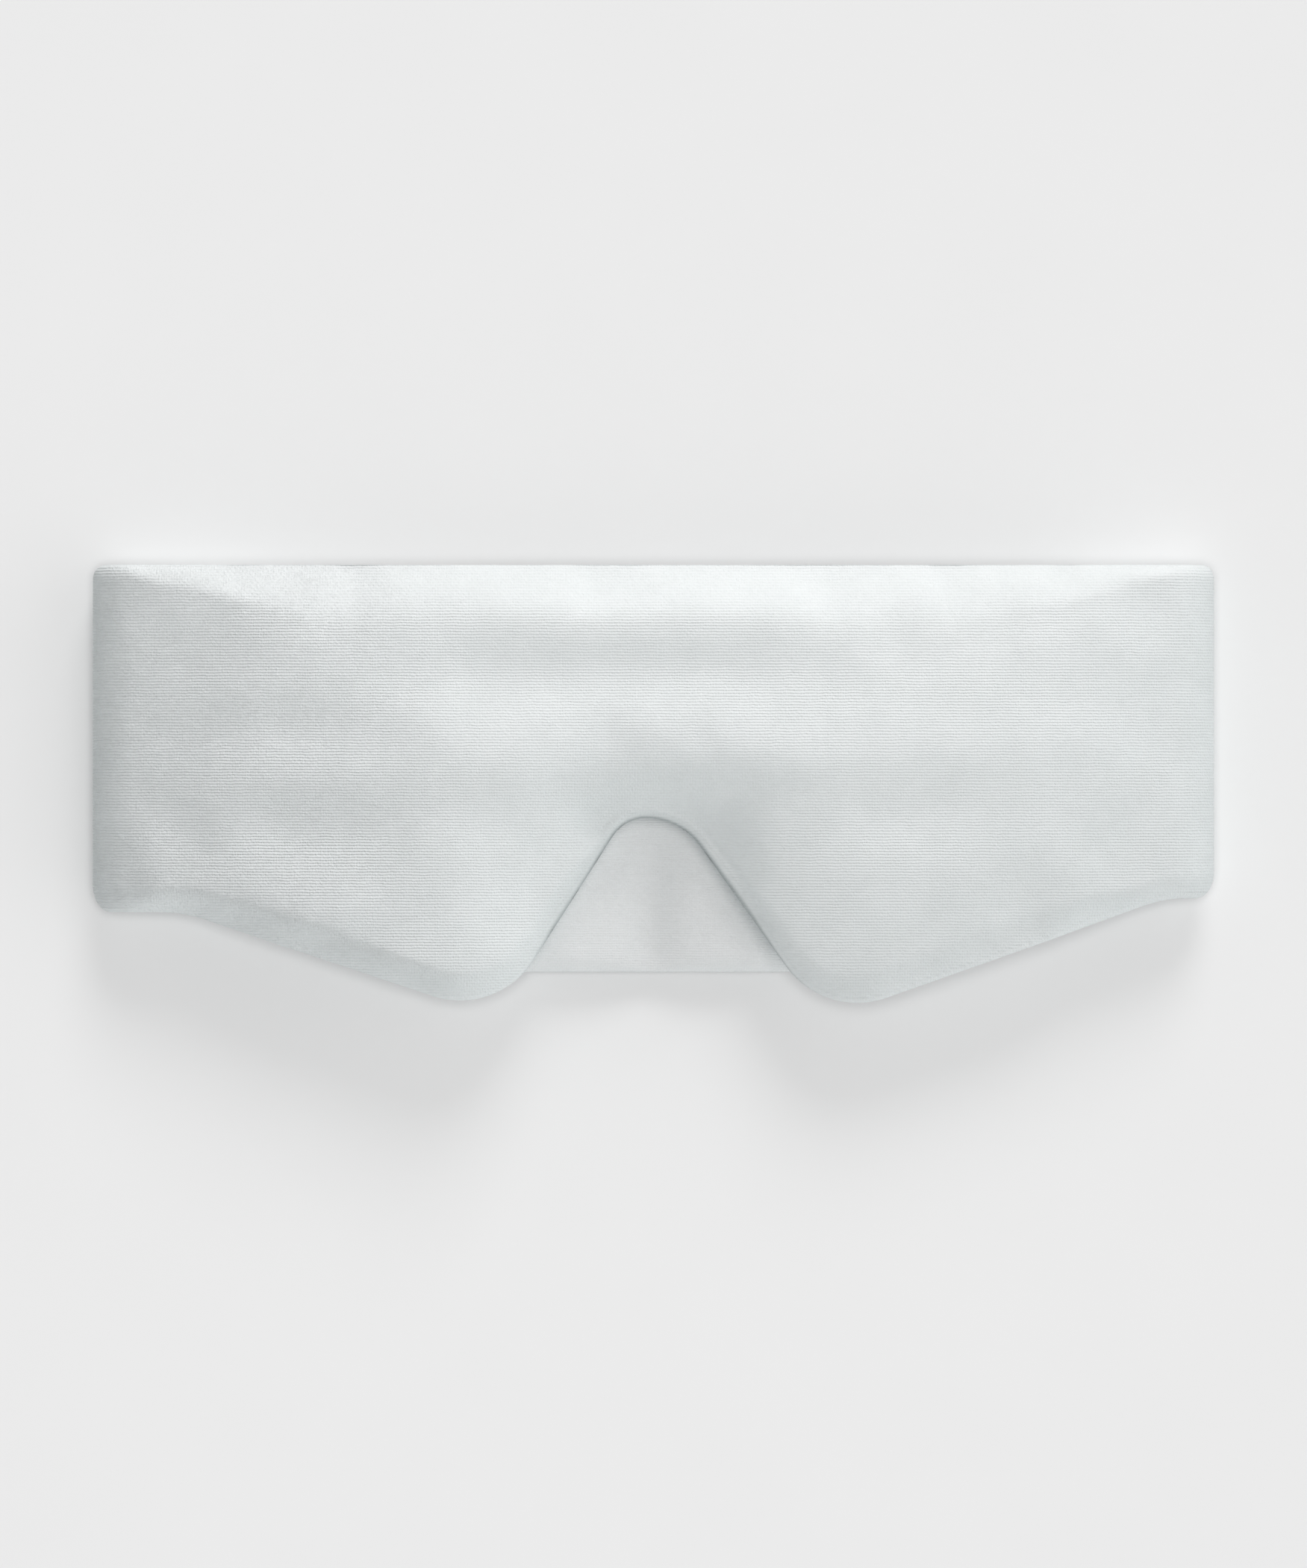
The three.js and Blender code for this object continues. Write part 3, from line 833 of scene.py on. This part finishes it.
def knit_material(name, dark, light, course, wale, depth, seam_line):
    """Interlock knit: rows of loops along the cloth, fine columns across, fuzz and soft mottling, with painted shade
    in the grooves of its relief; the outer cloth also gets a painted highlight along its edges, painted shadow along
    the notch's edge and painted light on its left.
    """
    n = Nodes(bpy.data.materials.new(name))
    vector, u, v = n.uv("weave")
    wobble = n.math("SUBTRACT", n.noise(vector, WOBBLE_SCALE, detail=1.0), 0.5)
    rows = n.wave(n.math("ADD", v, n.math("MULTIPLY", wobble, ROW_WOBBLE)), course)
    slanted = n.math("ADD", n.math("MULTIPLY", u, math.pi / wale), n.math("MULTIPLY", v, math.pi / course))
    loops = n.math("MULTIPLY_ADD", n.wave(u, wale), COLUMN_SHARE, n.math("MULTIPLY", rows, ROW_SHARE))
    loops = n.math("MULTIPLY_ADD", n.math("SINE", slanted), OFFSET_SHARE, loops)
    fuzz = n.noise(vector, FUZZ_SCALE, detail=2.0, rough=0.6)
    height = n.math("MULTIPLY_ADD", fuzz, FUZZ_SHARE, loops)
    mottling = n.noise(vector, MOTTLING_SCALE, detail=3.0, rough=0.55)
    tone = n.math("MULTIPLY_ADD", mottling, MOTTLING_TONE, BASE_TONE)
    # painted shade: the low parts of the relief, the grooves between loops, are darker, plus random tone from the fuzz
    tone = n.math("MULTIPLY_ADD", height, GROOVE_SHADE_AND_FUZZ_TONE, tone)
    if seam_line:
        loose = n.clamp(n.math("DIVIDE", n.math("SUBTRACT", LOOSE_FROM, u), LOOSE_RUN))
        height = n.math("MULTIPLY", height, n.math("MULTIPLY_ADD", loose, LOOSE_RELIEF, 1.0))
        # painted light: the colour on the left is lighter to offset the shade of its deeper relief
        tone = n.math("MULTIPLY_ADD", loose, LEFT_PAINTED_LIFT, tone)
    normal = n.bump(height, depth)
    normal = n.bump(n.noise(vector, RIPPLE_SCALE), RIPPLE_DEPTH, RIPPLE_STRENGTH, normal)
    if not seam_line:
        return n.finish(n.ramp(n.clamp(tone), dark, light), KNIT_ROUGH, normal, KNIT_SHEEN, KNIT_SPECULAR)
    _, edge, _ = n.uv("seam")
    groove = n.bell(n.math("DIVIDE", n.math("SUBTRACT", edge, SEAM_INSET), SEAM_LINE_WIDTH))
    fade = n.decay(n.math("MULTIPLY", edge, 1 / RIM_WIDTH))
    across = n.math("DIVIDE", n.math("SUBTRACT", u, NOTCH_MID_U), NOTCH_HALF_U)
    notch = n.bell(n.square(n.square(across)))  # 1 over the whole notch, with quick ends
    # painted highlight: the colour is lighter along the edges, but not along the notch
    painted_rim_highlight = n.math("MULTIPLY", fade, n.math("MULTIPLY_ADD", notch, -PAINTED_RIM_HIGHLIGHT, PAINTED_RIM_HIGHLIGHT))
    tone = n.math("MULTIPLY_ADD", groove, SEAM_LINE_TONE, n.math("ADD", painted_rim_highlight, tone))
    # painted shadow: a dark line along the notch's edge, where the front's edge would shade the lining below
    notch_shadow_mask = n.bell(n.math("DIVIDE", edge, NOTCH_SHADOW_WIDTH))
    painted_notch_shadow = n.math("MULTIPLY", n.math("MULTIPLY", notch_shadow_mask, notch), NOTCH_SHADOW_STRENGTH)
    pucker = n.math("MULTIPLY", n.wave(u, PUCKER_PITCH), fade)
    shape = n.math("MULTIPLY_ADD", pucker, PUCKER_SHARE, n.math("MULTIPLY", groove, -1.0))
    normal = n.bump(shape, SEAM_DEPTH, SEAM_STRENGTH, normal)
    color = n.ramp(painted_notch_shadow, n.ramp(n.clamp(tone), dark, light), NOTCH_SHADOW_COLOR)
    return n.finish(color, KNIT_ROUGH, normal, KNIT_SHEEN, KNIT_SPECULAR)


def woven_material(name, dark, light, pitch, depth, rough, sheen):
    """Plain or satin weave in object space, for tapes, label and thread, darker in the low parts of its relief:
    painted shade in the weave's grooves, plus random fuzz tone.
    """
    n = Nodes(bpy.data.materials.new(name))
    p = n.coordinates("Object")
    x, y, _ = n.split(p)
    crossing = n.math("MULTIPLY", n.wave(x, pitch), n.wave(y, pitch))
    height = n.math("MULTIPLY_ADD", n.noise(p, WEAVE_FUZZ_SCALE), WEAVE_FUZZ_SHARE, crossing)
    # painted shade: the low parts of the weave are darker, plus random tone from the fuzz
    tone = n.math("MULTIPLY_ADD", height, WEAVE_GROOVE_SHADE_AND_FUZZ_TONE, WEAVE_BASE_TONE)
    color = n.ramp(n.clamp(tone), dark, light)
    return n.finish(color, rough, n.bump(height, depth, WEAVE_STRENGTH), sheen, WEAVE_SPECULAR)


def floor_material():
    """Pale matt paper."""
    n = Nodes(bpy.data.materials.new("studio_floor"))
    grain = n.noise(n.coordinates("Object"), scale=30, detail=4.0)
    color = n.ramp(grain, low=(0.800, 0.800, 0.800), high=(0.815, 0.815, 0.815))
    return n.finish(color, rough=0.95, specular=0.0)


KNIT = knit_material("knit_outer", dark=(0.608, 0.66, 0.66), light=(0.778, 0.828, 0.833),
                     course=KNIT_COURSE, wale=KNIT_WALE, depth=0.12 * MM, seam_line=True)
LINING = knit_material("knit_lining", dark=(0.70, 0.74, 0.745), light=(0.845, 0.88, 0.885),
                       course=LINING_COURSE, wale=LINING_WALE, depth=0.08 * MM, seam_line=False)
HOOK = woven_material("hook_nylon", dark=(0.50, 0.55, 0.545), light=(0.70, 0.75, 0.745),
                      pitch=0.5 * MM, depth=0.1 * MM, rough=0.5, sheen=0.0)
LOOP = woven_material("loop_pile", dark=(0.58, 0.64, 0.635), light=(0.82, 0.86, 0.86),
                      pitch=0.5 * MM, depth=0.15 * MM, rough=0.95, sheen=0.6)
THREAD = woven_material("thread", dark=(0.50, 0.57, 0.56), light=(0.72, 0.78, 0.77),
                        pitch=0.25 * MM, depth=0.05 * MM, rough=0.6, sheen=0.3)
LABEL = woven_material("label_satin", dark=(0.80, 0.80, 0.78), light=(0.93, 0.93, 0.92),
                       pitch=0.18 * MM, depth=0.02 * MM, rough=0.45, sheen=0.2)


# ---- the band: eye section, folds and straps ----
def columns():
    """w of every grid column, and the index ranges of the five stretches."""
    fold_end = PIVOT_X + FOLD_ARC
    turn = 1 - np.cos(np.linspace(0, np.pi / 2, END_COLUMNS))
    left_end = LEFT_END_W + LEFT_END_TURN * turn
    right_end = RIGHT_END_W - RIGHT_END_TURN * turn[::-1]
    stretches = [
        np.concatenate([left_end[:-1], np.linspace(left_end[-1], -fold_end, LEFT_STRAP_COLUMNS)]),
        np.linspace(-fold_end, -PIVOT_X, FOLD_COLUMNS),
        np.linspace(-PIVOT_X, PIVOT_X, EYE_COLUMNS),
        np.linspace(PIVOT_X, fold_end, FOLD_COLUMNS),
        np.concatenate([np.linspace(fold_end, right_end[0], RIGHT_STRAP_COLUMNS), right_end[1:]]),
    ]
    w = stretches[0]
    ranges = [(0, len(w))]
    for s in stretches[1:]:
        ranges.append((len(w) - 1, len(w) + len(s) - 1))
        w = np.concatenate([w, s[1:]])
    return w, ranges


def lining_cut(name):
    """Flat size and area of the cut of one stretch of lining."""
    w, ranges = columns()
    a, b = ranges[LINING_NAMES.index(name)]
    w = w[a:b]
    low, high = band_low(w), band_high(w)
    width, length = w[-1] - w[0], high.max() - low.min()
    area = float(np.sum((high - low)[1:] * np.diff(w)))
    return {"flat": (float(width), float(length)), "area": min(area, float(width * length))}


def build_band(outer, names, material):
    """The five stretches of the outer cloth or of the lining, cut from one grid."""
    w, ranges = columns()
    points, d_low, d_high = band_grid(w, outer)
    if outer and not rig.quick():
        a, b = ranges[2]
        points[a:b] += cloth_pass(points[a:b], step=4, pressure=4.0, growth=0.008, cap=2.5 * MM)
    normals = grid_normals(points)
    weave = np.stack([np.broadcast_to(w[:, None], d_low.shape), points[..., 1]], axis=-1)
    seams = np.stack([d_low, d_high], axis=-1)
    made = []
    for name, (a, b) in zip(names, ranges):
        stretch = [field[a:b] for field in (points, normals, weave, seams)]
        made.append(grid_object(name, *stretch, material, flip=not outer))
    return made


# ---- closure ----
CLOSURE_SEED = 7
TAB_CORNER = 8 * MM
TAPE_CORNER = 3 * MM
TAB_TUCK = 1.4 * MM  # the tab's cloth starts this far inside the strap's end
TAB_BEND_BEFORE = 0.6 * MM  # the tab bends from here, before the strap's end ...
TAB_BEND_AFTER = 1.6 * MM  # ... to here, past the near edge of the tab's CAD box
# rings of a patch from its edge inwards: share of the plan size, and height as a share of the thickness
PATCH_RINGS = [
    (1.0, 0.0), (0.995, 0.35), (0.98, 0.45), (0.95, 0.5),
    (0.85, 0.48), (0.65, 0.46), (0.4, 0.45), (0.2, 0.45),
]
PATCH_STEPS = 8
STITCH_STEPS = 6
STITCH_PITCH = 1.15 * MM
STITCH_OUT = 0.75 * MM
STITCH_IN = 1.15 * MM
STITCH_RISE = 0.16 * MM
THREAD_R = 0.14 * MM
HOOK_MARGIN = 2.4 * MM
HOOK_PITCH = 1.45 * MM
HOOK_TURN = 0.35  # radians, either way
HOOK_ARC = [(0, -0.05), (0, 0.22), (0.06, 0.34), (0.17, 0.36), (0.24, 0.27)]  # forward and up, mm
HOOK_R = 0.055 * MM
PILE_MARGIN = 1.8 * MM
PILE_COUNT = 1500
PILE_SIZE = (0.7, 1.5)  # mm
PILE_HEIGHT = (0.12, 0.3)  # mm
PILE_BEND = 0.6  # radians, either way
PILE_SINK = 0.03 * MM
PILE_R = 0.045 * MM
LABEL_TUCK = 1.6 * MM  # the label's ends are sewn in this far below its box
LABEL_FOLD = 0.4 * MM
LABEL_FOLD_OUT = 0.3 * MM
LABEL_FOLD_RISE = 0.17 * MM
LABEL_TOP_INSET = 0.06 * MM
LABEL_TOP_BULGE = 0.35 * MM
LABEL_LOW_INSET = 0.05 * MM
LABEL_LOW_BULGE = 0.3 * MM
LABEL_THICKNESS = 0.09 * MM
LABEL_WAVE = 0.25 * MM
LABEL_WAVE_TURN = 7  # radians of the wave across the label
LABEL_COLUMNS = 24
LABEL_ROWS = 12
LABEL_FOLD_ROWS = 6


def rounded_loop(box, radius, steps):
    """Plan points round a rectangle with round corners."""
    (x0, y0, _), (x1, y1, _) = box
    corners = [(x1 - radius, y0 + radius, -90), (x1 - radius, y1 - radius, 0)]
    corners += [(x0 + radius, y1 - radius, 90), (x0 + radius, y0 + radius, 180)]
    loop = []
    for cx, cy, start in corners:
        for i in range(steps + 1):
            a = math.radians(start + 90 * i / steps)
            loop.append((cx + radius * math.cos(a), cy + radius * math.sin(a)))
    return loop


def soft_patch(name, box, radius, material):
    """Flat cloth patch with rounded corners, soft edges and a slight dish."""
    (x0, y0, z0), (x1, y1, z1) = box
    centre = np.array([(x0 + x1) / 2, (y0 + y1) / 2])
    loop = np.array(rounded_loop(box, radius, PATCH_STEPS))
    thick = z1 - z0
    mid = (z0 + z1) / 2
    dish = PATCH_RINGS[-1][1]
    sequence = [(share, -lift) for share, lift in reversed(PATCH_RINGS[1:])] + PATCH_RINGS
    verts = [(*centre, mid - dish * thick)]
    for share, lift in sequence:
        for px, py in centre + (loop - centre) * share:
            verts.append((px, py, mid + lift * thick))
    verts.append((*centre, mid + dish * thick))
    n = len(loop)
    faces = []
    for k in range(len(sequence) - 1):
        for i in range(n):
            a, b = 1 + k * n + i, 1 + k * n + (i + 1) % n
            faces.append((a, b, b + n, a + n))
    last = 1 + (len(sequence) - 1) * n
    for i in range(n):
        faces.append((0, 1 + (i + 1) % n, 1 + i))
        faces.append((last + i, last + (i + 1) % n, len(verts) - 1))
    return new_object(name, verts, faces, material)


def tube(points, radius, sides, closed=False):
    """Vertices and faces of a thin tube along points."""
    p = np.array(points)
    ahead = np.roll(p, -1, axis=0) - np.roll(p, 1, axis=0)
    if not closed:
        ahead[0], ahead[-1] = p[1] - p[0], p[-1] - p[-2]
    ahead /= np.linalg.norm(ahead, axis=1, keepdims=True)
    up = np.array([0.0, 0.0, 1.0])
    across = np.cross(ahead, up)
    steep = np.linalg.norm(across, axis=1) < 0.2  # nearly upright, so x serves instead of z
    across[steep] = np.cross(ahead[steep], [1.0, 0.0, 0.0])
    across /= np.linalg.norm(across, axis=1, keepdims=True)
    other = np.cross(ahead, across)
    verts, faces = [], []
    for k in range(len(p)):
        for i in range(sides):
            a = 2 * math.pi * i / sides
            verts.append(p[k] + radius * (math.cos(a) * across[k] + math.sin(a) * other[k]))
    for k in range(len(p) if closed else len(p) - 1):
        m = (k + 1) % len(p)
        for i in range(sides):
            j = (i + 1) % sides
            faces.append((k * sides + i, k * sides + j, m * sides + j, m * sides + i))
    if not closed:
        faces.append(tuple(reversed(range(sides))))
        faces.append(tuple((len(p) - 1) * sides + i for i in range(sides)))
    return verts, faces


def merge(parts):
    """Many small meshes as one list of vertices and one of faces."""
    verts, faces = [], []
    for v, f in parts:
        base = len(verts)
        verts += list(v)
        faces += [tuple(base + i for i in face) for face in f]
    return verts, faces


def zigzag_stitches(name, box, radius, z, side, material):
    """Zigzag edge stitching round a tape; side is +1 when the tape faces up."""
    loop = np.array(rounded_loop(box, radius, STITCH_STEPS))
    closed = np.vstack([loop, loop[:1]])
    seg = np.linalg.norm(np.diff(closed, axis=0), axis=1)
    run = np.concatenate([[0], np.cumsum(seg)])
    count = int(run[-1] / STITCH_PITCH) // 2 * 2
    s = np.linspace(0, run[-1], count, endpoint=False)
    px, py = np.interp(s, run, closed[:, 0]), np.interp(s, run, closed[:, 1])
    tangent = np.stack([np.roll(px, -1) - np.roll(px, 1), np.roll(py, -1) - np.roll(py, 1)], axis=1)
    tangent /= np.linalg.norm(tangent, axis=1, keepdims=True)
    out = np.where(np.arange(count) % 2 == 0, STITCH_OUT, -STITCH_IN)
    pts = np.stack([px + tangent[:, 1] * out, py - tangent[:, 0] * out, np.full(count, z)], axis=1)
    fine = []
    for k in range(count):
        a, b = pts[k], pts[(k + 1) % count]
        for t in (0.0, 0.33, 0.67):
            q = a + (b - a) * t
            q[2] = z + side * STITCH_RISE * math.sin(math.pi * t)
            fine.append(q)
    return new_object(name, *tube(fine, THREAD_R, sides=5, closed=True), material)


def hook_field(box, rng):
    """Rows of small hooks standing on the hook tape."""
    (x0, y0, _), (x1, y1, z) = box
    parts = []
    for i, x in enumerate(np.arange(x0 + HOOK_MARGIN, x1 - HOOK_MARGIN, HOOK_PITCH)):
        for y in np.arange(y0 + HOOK_MARGIN + (i % 2) * HOOK_PITCH / 2, y1 - HOOK_MARGIN, HOOK_PITCH):
            turn = rng.uniform(-HOOK_TURN, HOOK_TURN) + (math.pi if i % 2 else 0)
            c, s = math.cos(turn), math.sin(turn)
            arc = [(x + c * a * MM, y + s * a * MM, z + h * MM) for a, h in HOOK_ARC]
            parts.append(tube(arc, HOOK_R, sides=4))
    return merge(parts)


def loop_field(box, rng):
    """Loose loops of yarn lying on the loop tape, which faces down."""
    (x0, y0, z), (x1, y1, _) = box
    parts = []
    for _ in range(PILE_COUNT):
        x = rng.uniform(x0 + PILE_MARGIN, x1 - PILE_MARGIN)
        y = rng.uniform(y0 + PILE_MARGIN, y1 - PILE_MARGIN)
        a = rng.uniform(0, 2 * math.pi)
        size = rng.uniform(*PILE_SIZE) * MM
        height = rng.uniform(*PILE_HEIGHT) * MM
        bend = rng.uniform(-PILE_BEND, PILE_BEND)
        pts = []
        for t in (0, 0.25, 0.5, 0.75, 1):
            q = a + bend * t
            h = -height * math.sin(math.pi * t)
            pts.append((x + size * t * math.cos(q), y + size * t * math.sin(q), z + h + PILE_SINK))
        parts.append(tube(pts, PILE_R, sides=3))
    return merge(parts)


def care_label():
    """Blank folded label hanging from the strap's upper seam."""
    (x0, y0, z0), (x1, y1, z1) = [tuple(c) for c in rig.box("care_label")]
    root = y0 - LABEL_TUCK
    bend = y1 - LABEL_FOLD
    path = []
    for k in range(LABEL_ROWS + 1):
        t = k / LABEL_ROWS
        path.append((mix(root, bend, t), z1 - LABEL_TOP_INSET + LABEL_TOP_BULGE * math.sin(math.pi * t)))
    for k in range(1, LABEL_FOLD_ROWS):
        a = math.pi * k / LABEL_FOLD_ROWS
        path.append((bend + LABEL_FOLD_OUT * math.sin(a), (z0 + z1) / 2 + LABEL_FOLD_RISE * math.cos(a)))
    for k in range(LABEL_ROWS + 1):
        t = 1 - k / LABEL_ROWS
        path.append((mix(root, bend, t), z0 + LABEL_LOW_INSET - LABEL_LOW_BULGE * math.sin(math.pi * t)))
    verts = []
    for y, z in path:
        for i in range(LABEL_COLUMNS + 1):
            x = mix(x0, x1, i / LABEL_COLUMNS)
            wave = LABEL_WAVE * math.sin(LABEL_WAVE_TURN * i / LABEL_COLUMNS) * (y - root) / (y1 - root)
            verts.append((x, y, z + wave))
    faces = []
    for j in range(len(path) - 1):
        for i in range(LABEL_COLUMNS):
            a = j * (LABEL_COLUMNS + 1) + i
            faces.append((a, a + 1, a + LABEL_COLUMNS + 2, a + LABEL_COLUMNS + 1))
    label = new_object("label_blank", verts, faces, LABEL)
    label.modifiers.new("thickness", "SOLIDIFY").thickness = LABEL_THICKNESS
    return label


def build_closure():
    """The tab with its hook tape, and the loop tape it closes on."""
    rng = np.random.default_rng(CLOSURE_SEED)
    nodes = ("tab_backing", "hook_tape", "loop_tape")
    tab_box, hook_box, loop_box = [[tuple(c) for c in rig.box(node)] for node in nodes]
    low, high = tab_box
    root = (LEFT_END_X - TAB_TUCK, low[1], low[2])
    tab = soft_patch("tab_cloth", [root, high], TAB_CORNER, KNIT)
    hook = soft_patch("hook_tape_cloth", hook_box, TAPE_CORNER, HOOK)
    hooks = new_object("hook_tape_hooks", *hook_field(hook_box, rng), HOOK)
    hook_stitch = zigzag_stitches("hook_tape_thread", hook_box, TAPE_CORNER, hook_box[1][2], 1, THREAD)
    loop = soft_patch("loop_tape_cloth", loop_box, TAPE_CORNER, LOOP)
    pile = new_object("loop_tape_pile", *loop_field(loop_box, rng), LOOP)
    loop_stitch = zigzag_stitches("loop_tape_thread", loop_box, TAPE_CORNER, loop_box[0][2], -1, THREAD)
    for piece in (hook, hooks, hook_stitch):
        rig.ride(piece, "closure_tab")
    for piece in (loop, pile, loop_stitch):
        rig.ride(piece, "right_strap")
    middle = (low[1] + high[1]) / 2
    bend_start = (LEFT_END_X - TAB_BEND_BEFORE, middle, 0)
    bend_end = (low[0] + TAB_BEND_AFTER, middle, 0)
    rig.blend(tab, "left_strap", "closure_tab", start=bend_start, end=bend_end)
    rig.replaces(tab, "tab_backing")
    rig.replaces(hook, "hook_tape")
    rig.replaces(hook_stitch, "hook_tape_stitching")
    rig.replaces(loop, "loop_tape")
    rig.replaces(loop_stitch, "loop_tape_stitching")
    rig.slot(tab, "knit_fabric")
    for piece in (hook, hooks):
        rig.slot(piece, "hook_side")
    for piece in (loop, pile):
        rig.slot(piece, "loop_side")
    for piece in (hook_stitch, loop_stitch):
        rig.slot(piece, "thread")
    for piece, box, lies_on, extras in (
        (tab, (root, high), "left_strap_shell", []),
        (hook, hook_box, "tab_cloth", [hooks, hook_stitch]),
        (loop, loop_box, "right_strap_shell", [pile, loop_stitch]),
    ):
        (x0, y0, _), (x1, y1, _) = box
        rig.sheet(piece, flat=(x1 - x0, y1 - y0), held="stretched", rests_on=[lies_on], with_pieces=extras)


# ---- assembly ----
FRAME_WIDTH = 314.8 * MM
CAMERA_HEIGHT = 2.2
SENSOR_MM = 36
FOLD_BLEND = 4.4 * MM  # a fold's turn is spread this far to either side of its axis


def camera():
    """Straight down on the object, as in the photo; FRAME_WIDTH is what it sees at MID_Z."""
    data = bpy.data.cameras.new("camera")
    cam = bpy.data.objects.new("camera", data)
    bpy.context.scene.collection.objects.link(cam)
    cam.location = (0, 0, CAMERA_HEIGHT)
    data.sensor_fit = "HORIZONTAL"
    data.sensor_width = SENSOR_MM
    data.lens = SENSOR_MM * (CAMERA_HEIGHT - MID_Z) / FRAME_WIDTH
    bpy.context.scene.camera = cam


camera()

SHELL_NAMES = ["left_strap_shell", "left_fold_shell", "eye_shell", "right_fold_shell", "right_strap_shell"]
LINING_NAMES = ["left_strap_back", "left_fold_back", "eye_back", "right_fold_back", "right_strap_back"]
shells = build_band(True, SHELL_NAMES, KNIT)
linings = build_band(False, LINING_NAMES, LINING)
REPLACED = [
    ["left_strap_outer_panel", "left_strap_padding"],
    ["left_fold"],
    ["front_outer_panel", "front_padding", "blackout_interlining"],
    ["right_fold"],
    ["right_strap_outer_panel", "right_strap_padding"],
]
LINED = ["left_strap_lining", None, "front_lining", None, "right_strap_lining"]
BODIES = ["left_strap", None, "eye_section", None, "right_strap"]
for shell, back, nodes, lining, body in zip(shells, linings, REPLACED, LINED, BODIES):
    for piece in (shell, back):
        if body:
            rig.ride(piece, body)
        else:
            side = -1 if piece.name.startswith("left") else 1
            above = (side * PIVOT_X, 0, MID_Z + FOLD_BLEND)
            below = (side * PIVOT_X, 0, MID_Z - FOLD_BLEND)
            if side < 0:
                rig.blend(piece, "eye_section", "left_strap", start=above, end=below)
            else:  # the other way round, so that a half turn opens outwards on this side too
                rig.blend(piece, "right_strap", "eye_section", start=below, end=above)
    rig.replaces(shell, *nodes)
    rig.padded(shell, fill=0.5)
    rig.slot(shell, "knit_fabric")
    if lining:
        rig.replaces(back, lining)
    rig.slot(back, "lining_jersey")
    if body:
        turned = {"left_strap": [linings[1]], "right_strap": [linings[3]]}.get(body, [])
        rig.sheet(back, **lining_cut(back.name), held="stretched", rests_on=[shell], with_pieces=turned)

label = care_label()
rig.ride(label, "left_strap")
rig.replaces(label, "care_label")
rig.slot(label, "label_tape")
label_low, label_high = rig.box("care_label")
label_size = (label_high.x - label_low.x, 2 * (label_high.y - label_low.y + LABEL_TUCK))
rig.sheet(label, flat=label_size, held="folded", rests_on=["left_strap_shell"])
build_closure()


# ---- floor and light ----
FLOOR_HALF = 6.0
FLOOR_Z = -0.3 * MM  # just under the pillow, so that the two never share a plane
WARM = (1.0, 0.935, 0.93)


def floor():
    """Pale floor the pillow lies on."""
    corners = [(-1, -1), (1, -1), (1, 1), (-1, 1)]
    verts = [(x * FLOOR_HALF, y * FLOOR_HALF, FLOOR_Z) for x, y in corners]
    ground = new_object("floor", verts, [(0, 1, 2, 3)], floor_material())
    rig.stage(ground)
    return ground


def area_light(name, place, size, power, color):
    """Round softbox aimed at the object."""
    data = bpy.data.lights.new(name, "AREA")
    data.shape = "DISK"
    data.size = size
    data.energy = power
    data.color = color
    lamp = bpy.data.objects.new(name, data)
    lamp.location = place
    lamp.rotation_euler = (-Vector(place)).to_track_quat("-Z", "Y").to_euler()
    lamp.visible_camera = False
    bpy.context.scene.collection.objects.link(lamp)
    return lamp


def sun_light(name, towards, angle_deg, strength):
    """Even light from one side; towards points at the lamp."""
    data = bpy.data.lights.new(name, "SUN")
    data.angle = math.radians(angle_deg)
    data.energy = strength
    lamp = bpy.data.objects.new(name, data)
    lamp.rotation_euler = Vector(towards).to_track_quat("Z", "Y").to_euler()
    bpy.context.scene.collection.objects.link(lamp)
    return lamp


def world(north, south, right, left):
    """Four soft lobes of light, each strongest level with the floor; north is +Y and right is +X."""
    n = Nodes(bpy.data.worlds.new("studio"))
    x, y, _ = n.split(n.coordinates("Generated"))
    total = 0.0
    for axis, strength in ((y, north), (y, -south), (x, right), (x, -left)):
        facing = n.math("MULTIPLY", axis, math.copysign(math.sqrt(abs(strength)), strength))
        total = n.math("ADD", total, n.square(n.math("MAXIMUM", facing, 0.0)))
    background = n.tree.nodes["Background"].inputs
    n.link(total, background["Strength"])
    background["Color"].default_value = (1, 1, 1, 1)
    bpy.context.scene.world = n.owner


def light_only(lamps, collection_name, objects):
    """Flags the lamps off everything but the given objects, as black cards do in a studio."""
    receivers = bpy.data.collections.new(collection_name)
    for obj in objects:
        receivers.objects.link(obj)
    for lamp in lamps:
        lamp.light_linking.receiver_collection = receivers


ground = floor()
soft_pieces = [o for o in bpy.context.scene.objects if o.type == "MESH" and o is not ground]
pillow_lamps = [
    area_light("close_softbox", place=(0.05, 0.05, 0.45), size=0.3, power=0.74, color=WARM),
    area_light("edge_strip", place=(0.05, 0.45, 0.2), size=0.3, power=1.04, color=WARM),
]
floor_lamps = [
    area_light("overhead", place=(0, 0, 2.0), size=0.7, power=14.5, color=(1, 1, 1)),
    sun_light("floor_key", towards=(0.18, 1.0, 0.6), angle_deg=25, strength=1.04),
]
light_only(pillow_lamps, "lit_pillow", soft_pieces)
light_only(floor_lamps, "lit_floor", [ground])
world(north=0.76, south=1.02, right=1.6, left=0.72)
bpy.context.scene.view_settings.view_transform = "Standard"

with open("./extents.json", "w") as out:
    json.dump({"cad": cad_box, "visual": [list(c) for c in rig.bounds()]}, out)
